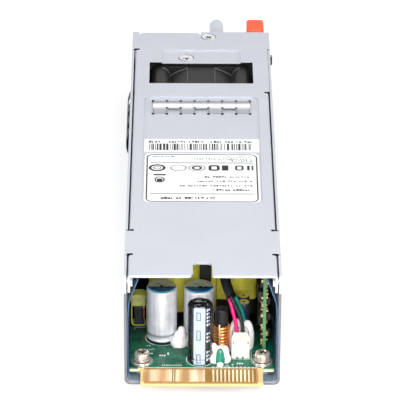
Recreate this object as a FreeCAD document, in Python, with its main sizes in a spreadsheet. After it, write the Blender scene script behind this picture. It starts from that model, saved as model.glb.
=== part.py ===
"""Hot swap power supply module, built piece by piece in millimetres.

The module lies on its bottom face. X runs to the right as seen from the card edge, Y runs from the
card edge (front) to the handle (rear) and Z is up. The origin is the centre of the bottom face.
"""
import FreeCAD
import Part
import Sketcher
import math
import os
from types import SimpleNamespace

# Driving dimensions, one named value each, in millimetres unless the name says otherwise.
SIZES = {
    # casing
    "case_width": 50.0,
    "case_length": 185.0,
    "case_height": 40.0,
    "sheet_gauge": 0.8,
    "bend_radius": 2.0,
    "cover_bend_radius": 1.0,
    "seam_inset": 1.2,
    "seam_step": 0.1,
    "seam_relief": 1.2,
    "seam_relief_depth": 2.4,
    "lip_depth": 6.2,
    "panel_gap": 0.1,
    "front_tab_start": 14.8,
    "front_tab_end": 30.0,
    "rear_tab_length": 14.4,
    "side_notch_from_rear": 50.4,
    "recess_depth": 0.5,
    # cable notch at the front edge of the cover
    "cable_notch_left": -3.17,
    "cable_notch_right": 2.97,
    "cable_notch_length": 8.8,
    "cable_notch_radius": 1.6,
    # fan window and screw recess in the cover
    "window_half_width": 18.5,
    "window_from_rear": 26.2,
    "window_length": 17.5,
    "screw_recess_half_width": 14.15,
    "screw_recess_length": 10.7,
    # label recess in the cover
    "label_recess_half_width": 20.0,
    "label_recess_start": 50.0,
    "label_recess_length": 80.7,
    "label_recess_radius": 3.0,
    "label_gauge": 0.12,
    "rating_label_half_width": 19.4,
    "rating_label_length": 36.3,
    "rating_label_radius": 2.4,
    "serial_label_half_width": 19.7,
    "serial_label_length": 9.4,
    "label_gap": 1.6,
    "label_margin": 0.3,
    # screws and press nuts
    "screw_head_radius": 2.8,
    "screw_shank_radius": 1.45,
    "screw_clearance": 0.05,
    "cover_screw_length": 4.2,
    "side_screw_head_radius": 2.1,
    "side_screw_shank_radius": 1.2,
    "side_screw_from_front": 3.0,
    "side_screw_drop": 3.7,
    "side_nut_radius": 1.9,
    "nut_room": 0.4,
    "side_nut_height": 0.7,
    "cover_nut_radius": 2.6,
    "cover_nut_height": 2.2,
    "rear_screw_x": 2.8,
    "rear_screw_from_rear": 4.2,
    "fan_cover_screw_x": -5.35,
    # contact strips
    "strip_cells": 7,
    "strip_cell_pitch": 4.84,
    "strip_width": 9.7,
    "strip_short_width": 7.4,
    "strip_rise": 1.1,
    "strip_gauge": 0.2,
    "strip_leg": 0.95,
    "strip_notch": 0.55,
    "strip_hole": 0.9,
    "strip_hole_length": 1.6,
    "strip_notch_gap": 0.2,
    "strip_slot": 0.4,
    "top_strip_centre": 122.55,
    "side_strip_centre": 130.5,
    "side_strip_height": 29.5,
    # rear panel
    "cover_tongue_left": -21.8,
    "cover_tongue_right": -0.8,
    "cover_tongue_drop": 6.4,
    "cover_tongue_relief": 0.8,
    "panel_flange_depth": 7.6,
    "panel_side_flange_top": 27.0,
    "vent_left": 0.9,
    "vent_width": 11.4,
    "vent_height": 2.4,
    "vent_pitch": 4.1,
    "vent_count": 5,
    "vent_bottom": 10.7,
    # mains inlet
    "inlet_x": -11.3,
    "inlet_z": 18.2,
    "inlet_body_width": 20.0,
    "inlet_body_height": 27.4,
    "inlet_flange_width": 22.6,
    "inlet_flange_height": 29.8,
    "inlet_flange_depth": 2.5,
    "inlet_body_depth": 14.6,
    "inlet_cavity_width": 16.6,
    "inlet_cavity_height": 24.2,
    "inlet_cavity_depth": 15.6,
    "inlet_cavity_chamfer": 4.6,
    "inlet_cutout_gap": 0.15,
    "blade_width": 4.0,
    "blade_thickness": 2.0,
    "blade_recess": 4.4,
    "blade_spacing": 7.0,
    "earth_blade_offset": 3.6,
    "terminal_width": 4.8,
    "terminal_thickness": 0.8,
    "terminal_length": 6.0,
    # pull handle
    "handle_x": 5.9,
    "handle_rod_radius": 2.6,
    "handle_top": 33.6,
    "handle_bottom": 6.4,
    "handle_reach": 25.3,
    "handle_bend_radius": 8.0,
    "handle_collar_radius": 3.5,
    "handle_collar_length": 1.2,
    "handle_screw_radius": 1.45,
    "handle_screw_head_radius": 2.7,
    "handle_screw_head_height": 1.8,
    "handle_screw_grip": 7.0,
    # status light
    "led_x": 16.6,
    "led_z": 8.5,
    "led_radius": 1.5,
    "led_flange_radius": 2.1,
    "led_length": 7.0,
    # latch
    "latch_pivot_x": 20.6,
    "latch_pivot_from_rear": 19.5,
    "latch_pin_radius": 1.0,
    "latch_running_gap": 0.05,
    "latch_knuckle_radius": 1.8,
    "latch_gauge": 1.2,
    "latch_offset": 0.6,
    "latch_low": 24.0,
    "latch_high": 34.0,
    "latch_skirt_low": 19.6,
    "latch_reach": 11.6,
    "hook_front": 80.6,
    "hook_crest": 83.6,
    "hook_rear": 85.8,
    "hook_reach": 1.15,
    "hook_low": 31.0,
    "hook_high": 34.0,
    "hook_window_gap": 0.9,
    "ear_gauge": 0.8,
    "ear_gap": 0.4,
    "spring_gauge": 0.3,
    "spring_low": 19.8,
    "spring_height": 3.2,
    "tab_left": 17.1,
    "tab_right": 23.5,
    "tab_from_rear": 13.3,
    "tab_length": 9.4,
    "tab_low": 17.0,
    "tab_high": 35.0,
    "tab_radius": 1.0,
    "tab_slot_depth": 4.0,
    "latch_swing_room": 2.9,
    # fan
    "fan_size": 36.0,
    "fan_depth": 20.0,
    "fan_from_rear": 44.0,
    "fan_centre_height": 20.5,
    "fan_flange": 3.0,
    "fan_post_radius": 3.4,
    "fan_hole_radius": 1.7,
    "fan_hole_offset": 14.6,
    "fan_barrel_radius": 18.5,
    "fan_bore_radius": 17.2,
    "fan_base_radius": 9.4,
    "fan_base_depth": 2.0,
    "fan_strut_width": 2.2,
    "fan_tube_radius": 2.6,
    "fan_bearing_radius": 2.2,
    "fan_bearing_length": 2.6,
    "fan_shaft_radius": 1.0,
    "fan_shaft_gap": 0.05,
    "hub_radius": 10.0,
    "hub_wall": 1.0,
    "hub_front_gap": 1.5,
    "hub_rear_gap": 0.5,
    "magnet_gauge": 1.0,
    "stator_gap": 0.4,
    "stator_length": 5.0,
    "blade_tip_radius": 16.8,
    "blade_count": 7,
    "blade_axial_half": 5.6,
    "blade_root_sweep": 2.6,
    "blade_tip_sweep": 5.2,
    "blade_camber": 1.6,
    "fan_blade_gauge": 0.9,
    "bracket_gauge": 0.8,
    "bracket_tab_length": 8.2,
    "fan_screw_head_radius": 2.6,
    "fan_screw_head_height": 1.6,
    "fan_screw_grip": 7.0,
    "film_gauge": 0.25,
    "film_front_gap": 0.6,
    "film_length": 137.0,
    # main board
    "board_bottom": 3.4,
    "board_gauge": 1.6,
    "board_half_width": 23.2,
    "board_shift": -0.15,
    "board_front_gap": 1.8,
    "board_length": 134.5,
    "tongue_half_width": 19.65,
    "tongue_reach": 7.45,
    "tongue_bevel": 0.35,
    "pad_gauge": 0.08,
    "pad_rear": 0.9,
    "pad_front_margin": 1.0,
    "finger_count": 12,
    "finger_pitch": 1.27,
    "finger_width": 0.82,
    "first_finger_x": 3.55,
    "power_pad_left": -18.9,
    "power_pad_split": -8.75,
    "power_pad_right": 0.9,
    "power_pad_gap": 0.4,
    "board_screw_x": 19.45,
    "board_screw_from_front": 6.3,
    "board_screw_radius": 1.45,
    "board_screw_head_radius": 2.45,
    "board_screw_head_height": 2.5,
    "washer_radius": 3.15,
    "washer_gauge": 0.6,
    "standoff_radius": 2.1,
    # parts on the board near the card edge
    "output_can_radius": 4.95,
    "output_can_height": 19.2,
    "output_can_from_front": 21.5,
    "output_can_left_x": -13.1,
    "output_can_right_x": -1.0,
    "filter_can_radius": 4.05,
    "filter_can_height": 20.9,
    "filter_can_x": -0.7,
    "filter_can_from_front": 7.35,
    "small_can_radius": 2.0,
    "small_can_height": 13.8,
    "small_can_x": 13.5,
    "small_can_from_front": 20.9,
    "small_can_pitch": 4.3,
    "rod_choke_x": 6.25,
    "rod_choke_from_front": 14.0,
    "rod_choke_radius": 2.72,
    "rod_choke_core_radius": 1.7,
    "rod_choke_head_radius": 2.15,
    "rod_choke_coil_top": 10.0,
    "rod_choke_height": 15.3,
    "rod_choke_turns": 8,
    "rod_choke_wire_dip": 0.35,
    "header_left": 9.45,
    "header_right": 15.35,
    "header_from_front": 8.0,
    "header_depth": 6.0,
    "header_height": 6.5,
    "header_wall": 0.7,
    "plug_height": 2.6,
    "plug_margin": 0.45,
    "plug_depth": 4.2,
    "control_board_x": 19.6,
    "control_board_gauge": 1.0,
    "control_board_from_front": 12.7,
    "control_board_length": 33.0,
    "control_board_height": 29.0,
    # wires of the fan
    "wire_radius": 0.62,
    "wire_hole_gap": 0.12,
    "wire_hole_depth": 0.8,
    "film_sleeve_left": -23.2,
    "film_sleeve_width": 5.2,
    "film_sleeve_from_front": 29.3,
    "film_sleeve_length": 3.8,
    "film_sleeve_wall": 0.3,
    "film_sleeve_height": 11.6,
    "film_sleeve_radius": 1.0,
    "coil_gap": 0.35,
    "coil_width": 2.9,
    "coil_height": 6.9,
    "coil_inset": 0.4,
    "coil_step": 0.5,
    "coil_boss_height": 1.8,
    "coil_corner": 0.4,
    "sleeve_radius": 1.65,
    # small shapes of the cans, rod choke, connector and board screws
    "can_bevel": 0.3,
    "can_groove_start": 1.2,
    "can_groove_middle": 1.7,
    "can_groove_stop": 2.3,
    "can_groove_depth": 0.35,
    "can_rim": 0.8,
    "can_rim_height": 0.25,
    "rod_choke_coil_foot": 0.3,
    "rod_choke_flare": 0.4,
    "header_floor": 1.4,
    "header_notch_width": 0.6,
    "header_notch_height": 0.9,
    "plug_side_inset": 0.1,
    "plug_top_inset": 0.7,
    "plug_shoulder": 0.9,
    "board_screw_grip": 1.8,
    "board_hole_gap": 0.15,
    "lock_washer_overhang": 0.25,
    # main transformer
    "transformer_left": -17.6,
    "transformer_width": 35.7,
    "transformer_from_front": 33.3,
    "transformer_length": 26.2,
    "transformer_rise": 3.0,
    "transformer_height": 27.0,
    "tape_radius": 2.4,
    "core_leg_left": -0.8,
    "core_leg_width": 3.7,
    "core_leg_half_length": 4.0,
    "core_end": 3.0,
    "core_foot": 2.0,
    "core_roof": 2.2,
    "bobbin_gauge": 1.0,
    "bobbin_inset": 1.0,
    "bobbin_end_inset": 0.5,
    "bobbin_pin": 1.0,
    # bulk capacitor, boost choke and heat sink
    "bulk_x": -13.2,
    "bulk_y": -19.4,
    "bulk_radius": 9.0,
    "bulk_height": 26.0,
    "boost_x": -11.6,
    "boost_y": 3.6,
    "boost_half_width": 10.0,
    "boost_half_length": 6.0,
    "boost_rise": 1.2,
    "boost_plate": 3.6,
    "boost_window": 13.6,
    "boost_side": 1.6,
    "boost_post_radius": 4.4,
    "boost_coil_radius": 8.2,
    "boost_pin_radius": 1.2,
    "boost_pin_offset": 6.0,
    "sink_x": 15.2,
    "sink_y": -29.0,
    "sink_length": 39.0,
    "sink_reach": 6.2,
    "sink_web": 2.0,
    "sink_fin": 1.6,
    "sink_rise": 1.0,
    "sink_top": 31.0,
    "sink_pin_radius": 1.0,
    # power semiconductors on the heat sink
    "device_first_y": -26.5,
    "device_pitch": 12.5,
    "device_width": 10.0,
    "device_rise": 4.0,
    "device_height": 15.4,
    "device_case_height": 9.2,
    "device_tab": 1.3,
    "device_gauge": 4.4,
    "device_lead_pitch": 2.54,
    "device_lead_inset": 2.0,
    "device_lead_width": 0.9,
    "device_lead_face": 2.6,
    "device_lead_gauge": 0.5,
    "bridge_y": -0.4,
    "bridge_width": 10.0,
    "bridge_gauge": 3.4,
    "bridge_rise": 3.0,
    "bridge_height": 17.5,
    "bridge_lead_pitch": 2.5,
    "bridge_lead_face": 2.2,
    "bridge_lead_gauge": 0.8,
    # mains filter
    "ring_x": -11.0,
    "ring_y": 29.5,
    "ring_rise": 10.4,
    "ring_radius": 8.6,
    "ring_bore": 4.8,
    "ring_half_length": 3.5,
    "ring_coil_middle": 6.7,
    "ring_coil_radius": 3.9,
    "filter_block_left": 1.6,
    "filter_block_right": 19.0,
    "filter_block_start": 30.0,
    "filter_block_stop": 39.2,
    "filter_block_height": 15.0,
    "filter_block_radius": 0.8,
    "fuse_x": 11.6,
    "fuse_y": 22.4,
    "fuse_rise": 3.4,
    "fuse_radius": 2.5,
    "fuse_half_length": 7.5,
    "fuse_clip_start": 3.4,
    "fuse_clip_stop": 7.9,
    "fuse_clip_radius": 2.8,
    "fuse_clip_half_width": 1.6,
    # fixing compound and bead thermistor
    "dab_spare": 0.02,
    "left_dab_x": -7.2,
    "left_dab_from_front": 15.6,
    "left_dab_radius": 2.9,
    "left_dab_height": 7.6,
    "right_dab_x": 5.7,
    "right_dab_from_front": 7.6,
    "right_dab_radius": 3.2,
    "right_dab_height": 8.2,
    "bead_x": 5.8,
    "bead_from_front": 4.9,
    "bead_radius": 1.05,
    "bead_foot": 1.2,
    "bead_widest": 2.2,
    "bead_shoulder": 4.4,
    "bead_height": 5.2,
    "wire_dab_left": 9.6,
    "wire_dab_right": 16.7,
    "wire_dab_length": 2.7,
    "wire_dab_height": 9.0,
    "wire_dab_crown": 1.6,
    "wire_dab_crown_left": 10.8,
    "wire_dab_crown_right": 15.6,
    "wire_dab_crown_length": 2.2,
    # fan motor inside the hub
    "fan_tube_length": 6.4,
    "magnet_setback": 4.2,
    "magnet_room": 6.2,
    "stator_setback": 3.0,
    "stator_ring": 1.6,
    "pole_half_width": 1.5,
    "shoe_half_width": 4.2,
    "shoe_flat_half_width": 3.0,
    "shoe_flat_drop": 0.6,
    "shoe_neck_drop": 1.4,
    "shoe_ear_drop": 2.2,
    "fan_circuit_gauge": 0.8,
    "fan_circuit_inset": 0.9,
    # latch bracket and spring
    "ear_half_length": 3.4,
    "ear_reach": 2.4,
    "pin_head_overhang": 0.7,
    "pin_head_height": 0.6,
    "skirt_from_pivot": 4.6,
    "skirt_length": 7.0,
    "tab_chamfer": 0.6,
    "tab_neck": 1.5,
}


class Size:
    """A length together with the spreadsheet expression that gives it."""

    def __init__(self, value, text):
        self.value = float(value)
        self.text = text

    def __float__(self):
        return self.value

    def __neg__(self):
        return Size(-self.value, "(-1 * %s)" % self.text)

    def __add__(self, other):
        return Size(self.value + float(other), "(%s + %s)" % (self.text, text_of(other)))

    def __radd__(self, other):
        return Size(float(other) + self.value, "(%s + %s)" % (text_of(other), self.text))

    def __sub__(self, other):
        return Size(self.value - float(other), "(%s - %s)" % (self.text, text_of(other)))

    def __rsub__(self, other):
        return Size(float(other) - self.value, "(%s - %s)" % (text_of(other), self.text))

    def __mul__(self, other):
        return Size(self.value * float(other), "(%s * %s)" % (self.text, text_of(other)))

    def __rmul__(self, other):
        return self * other

    def __truediv__(self, other):
        return Size(self.value / float(other), "(%s / %s)" % (self.text, text_of(other)))


def text_of(value):
    """The expression text of a Size or of a plain number."""
    if isinstance(value, Size):
        return value.text
    return "(%.9g)" % float(value)


doc = FreeCAD.newDocument("PowerSupplyModule")


def make_sheet():
    """Write every driving dimension to the spreadsheet and return them as Size values."""
    sheet = doc.addObject("Spreadsheet::Sheet", "Sizes")
    for row, (name, value) in enumerate(SIZES.items(), start=1):
        sheet.set("A%d" % row, name)
        sheet.set("B%d" % row, repr(value))
        sheet.setAlias("B%d" % row, name)
    doc.recompute()
    return SimpleNamespace(**{name: Size(value, "Sizes." + name) for name, value in SIZES.items()})


S = make_sheet()

# Places that many pieces share.
half = S.case_width / 2
front = -S.case_length / 2
rear = S.case_length / 2
gauge = S.sheet_gauge
wall_in = half - gauge
cover_under = S.case_height - gauge
wall_top = S.case_height - S.seam_step
seam_x = half - S.seam_inset
tab_front = front + S.front_tab_start
tab_rear = front + S.front_tab_end
rear_tab = rear - S.rear_tab_length
recess_z = S.case_height - S.recess_depth
recess_under = cover_under - S.recess_depth
panel_in = rear - gauge
window_rear = rear - S.window_from_rear
window_front = window_rear - S.window_length
screw_recess_rear = window_rear + S.screw_recess_length
fan_front = rear - S.fan_from_rear
fan_rear = fan_front + S.fan_depth
fan_z = S.fan_centre_height
fan_half = S.fan_size / 2
board_top = S.board_bottom + S.board_gauge
board_front = front + S.board_front_gap
board_rear = board_front + S.board_length
fan_screw_y = fan_rear + S.bracket_gauge + S.screw_head_radius * 0.68
pivot_x = S.latch_pivot_x
pivot_y = rear - S.latch_pivot_from_rear
lever_in = pivot_x + S.latch_offset
lever_out = lever_in + S.latch_gauge
tab_y = rear + S.tab_from_rear


def bind(item, name, value):
    """Drive one property of a document object from the sheet."""
    item.setExpression(name, text_of(value))


def bind_place(item, point, path="Placement"):
    """Drive the position of a document object from the sheet."""
    for axis, value in zip("xyz", point):
        bind(item, "%s.Base.%s" % (path, axis), value)


# Primitives

TURNS = {
    "+z": (FreeCAD.Vector(1, 0, 0), 0),
    "-z": (FreeCAD.Vector(1, 0, 0), 180),
    "+y": (FreeCAD.Vector(1, 0, 0), -90),
    "-y": (FreeCAD.Vector(1, 0, 0), 90),
    "+x": (FreeCAD.Vector(0, 1, 0), 90),
    "-x": (FreeCAD.Vector(0, 1, 0), -90),
}


def stand(item, point, direction):
    """Put a primitive on a point, pointing along a signed axis."""
    item.Placement.Rotation = FreeCAD.Rotation(*TURNS[direction])
    bind_place(item, point)
    return item


def box(name, low, high):
    """A block between its lowest and highest corners."""
    item = doc.addObject("Part::Box", name)
    for side, a, b in zip(("Length", "Width", "Height"), low, high):
        bind(item, side, b - a)
    bind_place(item, low)
    return item


def cylinder(name, radius, height, point, direction="+z"):
    """A round bar that starts at a point."""
    item = doc.addObject("Part::Cylinder", name)
    bind(item, "Radius", radius)
    bind(item, "Height", height)
    return stand(item, point, direction)


def cone(name, start_radius, end_radius, height, point, direction="+z"):
    """A cone frustum that starts at a point."""
    item = doc.addObject("Part::Cone", name)
    bind(item, "Radius1", start_radius)
    bind(item, "Radius2", end_radius)
    bind(item, "Height", height)
    return stand(item, point, direction)


def fuse(name, *parts):
    """Join parts into one solid."""
    item = doc.addObject("Part::MultiFuse", name)
    item.Shapes = list(parts)
    return item


def cut(name, base, *tools):
    """Take tools away from a base."""
    item = doc.addObject("Part::Cut", name)
    item.Base = base
    item.Tool = tools[0] if len(tools) == 1 else fuse(name + "_tools", *tools)
    return item


def group(name, parts):
    """Several separate solids that share one node."""
    item = doc.addObject("Part::Compound", name)
    item.Links = list(parts)
    return item


def shape(name, solid):
    """A free solid made with the Part functions."""
    item = doc.addObject("Part::Feature", name)
    item.Shape = solid
    item.Placement = FreeCAD.Placement()
    return item


# Sketches and body features

LEVEL_SIGN = {"XY": 1, "XZ": -1, "YZ": 1}


def new_body(name):
    """An empty body whose label is the node's name."""
    body = doc.addObject("PartDesign::Body", name)
    body.Label = name
    return body


def place_point(sketch, geometry, position, x, y):
    """Fix one sketch point at driven coordinates."""
    for kind, value in (("DistanceX", x), ("DistanceY", y)):
        index = sketch.addConstraint(Sketcher.Constraint(kind, geometry, position, float(value)))
        sketch.setExpression("Constraints[%d]" % index, text_of(value))


def driven_radius(sketch, geometry, radius):
    """Drive the radius of an arc or circle."""
    index = sketch.addConstraint(Sketcher.Constraint("Radius", geometry, float(radius)))
    sketch.setExpression("Constraints[%d]" % index, text_of(radius))


def corner_ends(before, point, after):
    """Where the straight sides stop at a corner, rounded where the point has a third value."""
    x, y = point[:2]
    if len(point) < 3:
        return (x, y), (x, y)
    here = FreeCAD.Vector(float(x), float(y), 0)
    back = FreeCAD.Vector(float(before[0]), float(before[1]), 0) - here
    ahead = FreeCAD.Vector(float(after[0]), float(after[1]), 0) - here
    reach = point[2] * (1 / math.tan(back.getAngle(ahead) / 2))
    back.normalize()
    ahead.normalize()
    return (x + reach * back.x, y + reach * back.y), (x + reach * ahead.x, y + reach * ahead.y)


def draw_sides(sketch, starts_and_stops):
    """Draw the straight sides and return their geometry numbers."""
    sides = []
    for start, stop in starts_and_stops:
        a = FreeCAD.Vector(float(start[0]), float(start[1]), 0)
        b = FreeCAD.Vector(float(stop[0]), float(stop[1]), 0)
        sides.append(sketch.addGeometry(Part.LineSegment(a, b), False))
    return sides


def draw_arc(sketch, corner, start, stop, radius, side_before, side_after):
    """Round a corner between two sides with a driven arc."""
    a = FreeCAD.Vector(float(start[0]), float(start[1]), 0)
    b = FreeCAD.Vector(float(stop[0]), float(stop[1]), 0)
    c = FreeCAD.Vector(float(corner[0]), float(corner[1]), 0)
    chord_middle = (a + b) * 0.5
    inward = chord_middle - c
    bulge = math.sqrt(float(radius) ** 2 - ((b - a).Length / 2) ** 2)
    centre = chord_middle + inward.normalize() * bulge
    middle = centre + (c - centre).normalize() * float(radius)
    arc = sketch.addGeometry(Part.Arc(a, middle, b), False)
    first, last = (1, 2) if (sketch.getPoint(arc, 1) - a).Length < 1e-6 else (2, 1)
    sketch.addConstraint(Sketcher.Constraint("Coincident", arc, first, side_before, 2))
    sketch.addConstraint(Sketcher.Constraint("Coincident", arc, last, side_after, 1))
    driven_radius(sketch, arc, radius)


def draw_outline(sketch, points, closed=True):
    """Draw a chain of sides, each point (x, y) or (x, y, corner radius)."""
    count = len(points)
    ends = [corner_ends(points[i - 1], points[i], points[(i + 1) % count]) for i in range(count)]
    last = count if closed else count - 1
    sides = draw_sides(sketch, [(ends[i][1], ends[(i + 1) % count][0]) for i in range(last)])
    for i, side in enumerate(sides):
        place_point(sketch, side, 1, *ends[i][1])
        after = (i + 1) % count
        open_end = not closed and i == last - 1
        if len(points[after]) == 3 or open_end:
            place_point(sketch, side, 2, *ends[after][0])
        if open_end:
            continue
        if len(points[after]) == 3:
            draw_arc(sketch, points[after], *ends[after], points[after][2], side, sides[after])
        else:
            sketch.addConstraint(Sketcher.Constraint("Coincident", side, 2, sides[after], 1))


def draw_circle(sketch, x, y, radius):
    """Draw a driven circle."""
    centre = FreeCAD.Vector(float(x), float(y), 0)
    circle = sketch.addGeometry(Part.Circle(centre, FreeCAD.Vector(0, 0, 1), float(radius)), False)
    driven_radius(sketch, circle, radius)
    place_point(sketch, circle, 3, x, y)


def draw(body, plane, level, loops, shift=(0, 0), closed=True):
    """A sketch on one of the body's own planes, moved along its normal to a level."""
    sketch = body.newObject("Sketcher::SketchObject", body.Label + "_sketch")
    face = next(item for item in body.Origin.OriginFeatures if item.Role == plane + "_Plane")
    sketch.AttachmentSupport = [(face, "")]
    sketch.MapMode = "FlatFace"
    bind_place(sketch, (shift[0], shift[1], LEVEL_SIGN[plane] * level), "AttachmentOffset")
    for loop in loops:
        if isinstance(loop, tuple):
            draw_circle(sketch, *loop)
        else:
            draw_outline(sketch, loop, closed)
    return sketch


def extrude(kind, body, plane, low, high, loops):
    """A pad or pocket between two levels along the plane's axis."""
    sketch = draw(body, plane, high if plane == "XZ" else low, loops)
    feature = body.newObject("PartDesign::" + kind, kind)
    feature.Profile = sketch
    bind(feature, "Length", high - low)
    return feature


def pad(body, plane, low, high, *loops):
    """Add material between two levels."""
    feature = extrude("Pad", body, plane, low, high, loops)
    doc.recompute()
    return feature


def check_cut(body, before, feature):
    """Stop where a cut removed nothing."""
    doc.recompute()
    if body.Shape.Volume > before - 1e-6:
        raise RuntimeError("%s: %s removed nothing" % (body.Label, feature.Name))
    return feature


def pocket(body, plane, low, high, *loops):
    """Remove material between two levels."""
    before = body.Shape.Volume
    feature = extrude("Pocket", body, plane, low, high, loops)
    feature.Reversed = True
    return check_cut(body, before, feature)


def spin(kind, body, plane, centre, axis, loops):
    """A revolution or groove about the sketch's own axis through a centre."""
    x, y, z = centre
    shift, level = {"XY": ((x, y), z), "XZ": ((x, z), y), "YZ": ((y, z), x)}[plane]
    sketch = draw(body, plane, level, loops, shift)
    feature = body.newObject("PartDesign::" + kind, kind)
    feature.Profile = sketch
    feature.ReferenceAxis = (sketch, [axis])
    feature.Angle = 360
    return feature


def revolve(body, plane, centre, axis, *loops):
    """Add a turned form."""
    feature = spin("Revolution", body, plane, centre, axis, loops)
    doc.recompute()
    return feature


def groove(body, plane, centre, axis, *loops):
    """Remove a turned form."""
    before = body.Shape.Volume
    return check_cut(body, before, spin("Groove", body, plane, centre, axis, loops))


def rectangle(left, low, right, high, radius=None):
    """The four corners of a rectangle, rounded where a radius is given."""
    corners = [(left, low), (right, low), (right, high), (left, high)]
    if radius is None:
        return corners
    return [corner + (radius,) for corner in corners]


def chamfer_edges(body, feature, size, wanted):
    """Bevel the edges of a feature that a test picks by their middle point."""
    names = []
    for number, edge in enumerate(feature.Shape.Edges, start=1):
        if wanted(edge.CenterOfMass):
            names.append("Edge%d" % number)
    bevel = body.newObject("PartDesign::Chamfer", "Chamfer")
    bevel.Base = (feature, names)
    bind(bevel, "Size", size)
    doc.recompute()
    return bevel


def countersunk_profile(head, shank, depth, length, spare):
    """Half of a countersunk screw or of its hole, from its flat face inwards."""
    return [(0, 0), (head + spare, 0), (shank + spare, -depth), (shank + spare, -length), (0, -length)]


# Casing

def strip_cells():
    """The offsets of the cell boundaries along a contact strip."""
    count = SIZES["strip_cells"]
    return [S.strip_cell_pitch * (i - count / 2) for i in range(count + 1)]


def strip_slot_loops(along, across, way):
    """Slots that a contact strip's legs pass through; the way is 1 or -1 for a strip laid over."""
    edges = strip_cells()
    slot = S.strip_slot / 2
    line = (S.strip_width / 2 - S.strip_gauge / 2) * way
    spare = S.strip_hole / 2
    loops = [rectangle(along + edges[0] - spare, across + line - slot,
                       along + edges[-1] + spare, across + line + slot)]
    for cell in range(0, SIZES["strip_cells"], 2):
        loops.append(rectangle(along + edges[cell] - spare, across - line - slot,
                               along + edges[cell + 1] + spare, across - line + slot))
    return loops


def strip_relief_loops(along, across):
    """Holes at the corners of a strip's cells."""
    reach = S.strip_width / 2
    wide = S.strip_hole / 2
    long = S.strip_hole_length / 2
    return [rectangle(along + edge - wide, across + line - long,
                      along + edge + wide, across + line + long)
            for edge in strip_cells() for line in (-reach, reach)]


def make_base_tray():
    """The folded tray: bottom and both side walls."""
    body = new_body("base_tray")
    inner_radius = S.bend_radius - gauge
    pad(body, "XZ", front, rear, [
        (-half, wall_top), (-half, 0, S.bend_radius), (half, 0, S.bend_radius), (half, wall_top),
        (wall_in, wall_top), (wall_in, gauge, inner_radius), (-wall_in, gauge, inner_radius),
        (-wall_in, wall_top)])
    seats = [rectangle(-half - 1, tab_front, half + 1, tab_rear),
             rectangle(-half - 1, rear_tab, half + 1, rear + 1)]
    pocket(body, "XY", cover_under, S.case_height + 1, *seats)
    relief = S.seam_relief
    reliefs = [rectangle(-half - 1, tab_front - relief, half + 1, tab_front),
               rectangle(-half - 1, tab_rear, half + 1, tab_rear + relief),
               rectangle(-half - 1, rear_tab - relief, half + 1, rear_tab)]
    pocket(body, "XY", cover_under - S.seam_relief_depth, S.case_height + 1, *reliefs)
    gap = S.hook_window_gap
    pocket(body, "YZ", wall_in - 1, half + 1,
           rectangle(S.hook_front - gap, S.hook_low - gap, S.hook_rear + gap, S.hook_high + gap))
    side_y = front + S.side_strip_centre
    slots = strip_slot_loops(side_y, S.side_strip_height, -1)
    pocket(body, "YZ", -half - 1, -wall_in + 1, *slots)
    pocket(body, "YZ", -half - 1, -wall_in + 1, *strip_relief_loops(side_y, S.side_strip_height))
    sink_side_holes(body, gauge + 1)
    return body


def side_screw_place(side):
    """The centre of a side screw's head on the outer face of a wall."""
    return (half * side, front + S.side_screw_from_front, S.case_height - S.side_screw_drop)


def sink_side_holes(body, length):
    """Countersunk holes for the two side screws."""
    for side in (-1, 1):
        profile = countersunk_profile(S.side_screw_head_radius, S.side_screw_shank_radius, gauge,
                                      length, S.screw_clearance)
        turned = [(depth * side, radius) for radius, depth in profile]
        groove(body, "XY", side_screw_place(side), "H_Axis", turned)


def cover_outline():
    """The flat outline of the cover, with its tabs, reliefs and cable notch."""
    flat_x = seam_x - 1.5
    wide_x = wall_in - S.panel_gap
    side_notch = rear - S.side_notch_from_rear
    bend_y = rear - 2
    left = S.cover_tongue_left
    right = S.cover_tongue_right
    slit = S.cover_tongue_relief
    notch_end = front + S.cable_notch_length
    return [
        (-flat_x, front), (-flat_x, tab_front), (-half, tab_front), (-half, tab_rear),
        (-flat_x, tab_rear), (-flat_x, rear_tab), (-half, rear_tab), (-half, rear),
        (left - slit, rear), (left - slit, bend_y), (right + slit, bend_y), (right + slit, rear),
        (half, rear, S.cover_bend_radius), (half, rear_tab), (wide_x, rear_tab),
        (wide_x, side_notch), (flat_x, side_notch), (flat_x, tab_rear), (half, tab_rear),
        (half, tab_front), (flat_x, tab_front), (flat_x, front),
        (S.cable_notch_right, front, 0.8), (S.cable_notch_right, notch_end, S.cable_notch_radius),
        (S.cable_notch_left, notch_end, S.cable_notch_radius), (S.cable_notch_left, front, 1.9)]


def lip_profile(side):
    """Section of the lip that folds down inside a side wall."""
    outer = seam_x * side
    inner = (seam_x - gauge) * side
    flat = (seam_x - 1.5) * side
    low = S.case_height - S.lip_depth
    return [(flat, S.case_height), (outer, S.case_height, S.cover_bend_radius), (outer, low),
            (inner, low), (inner, cover_under), (flat, cover_under)]


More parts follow.
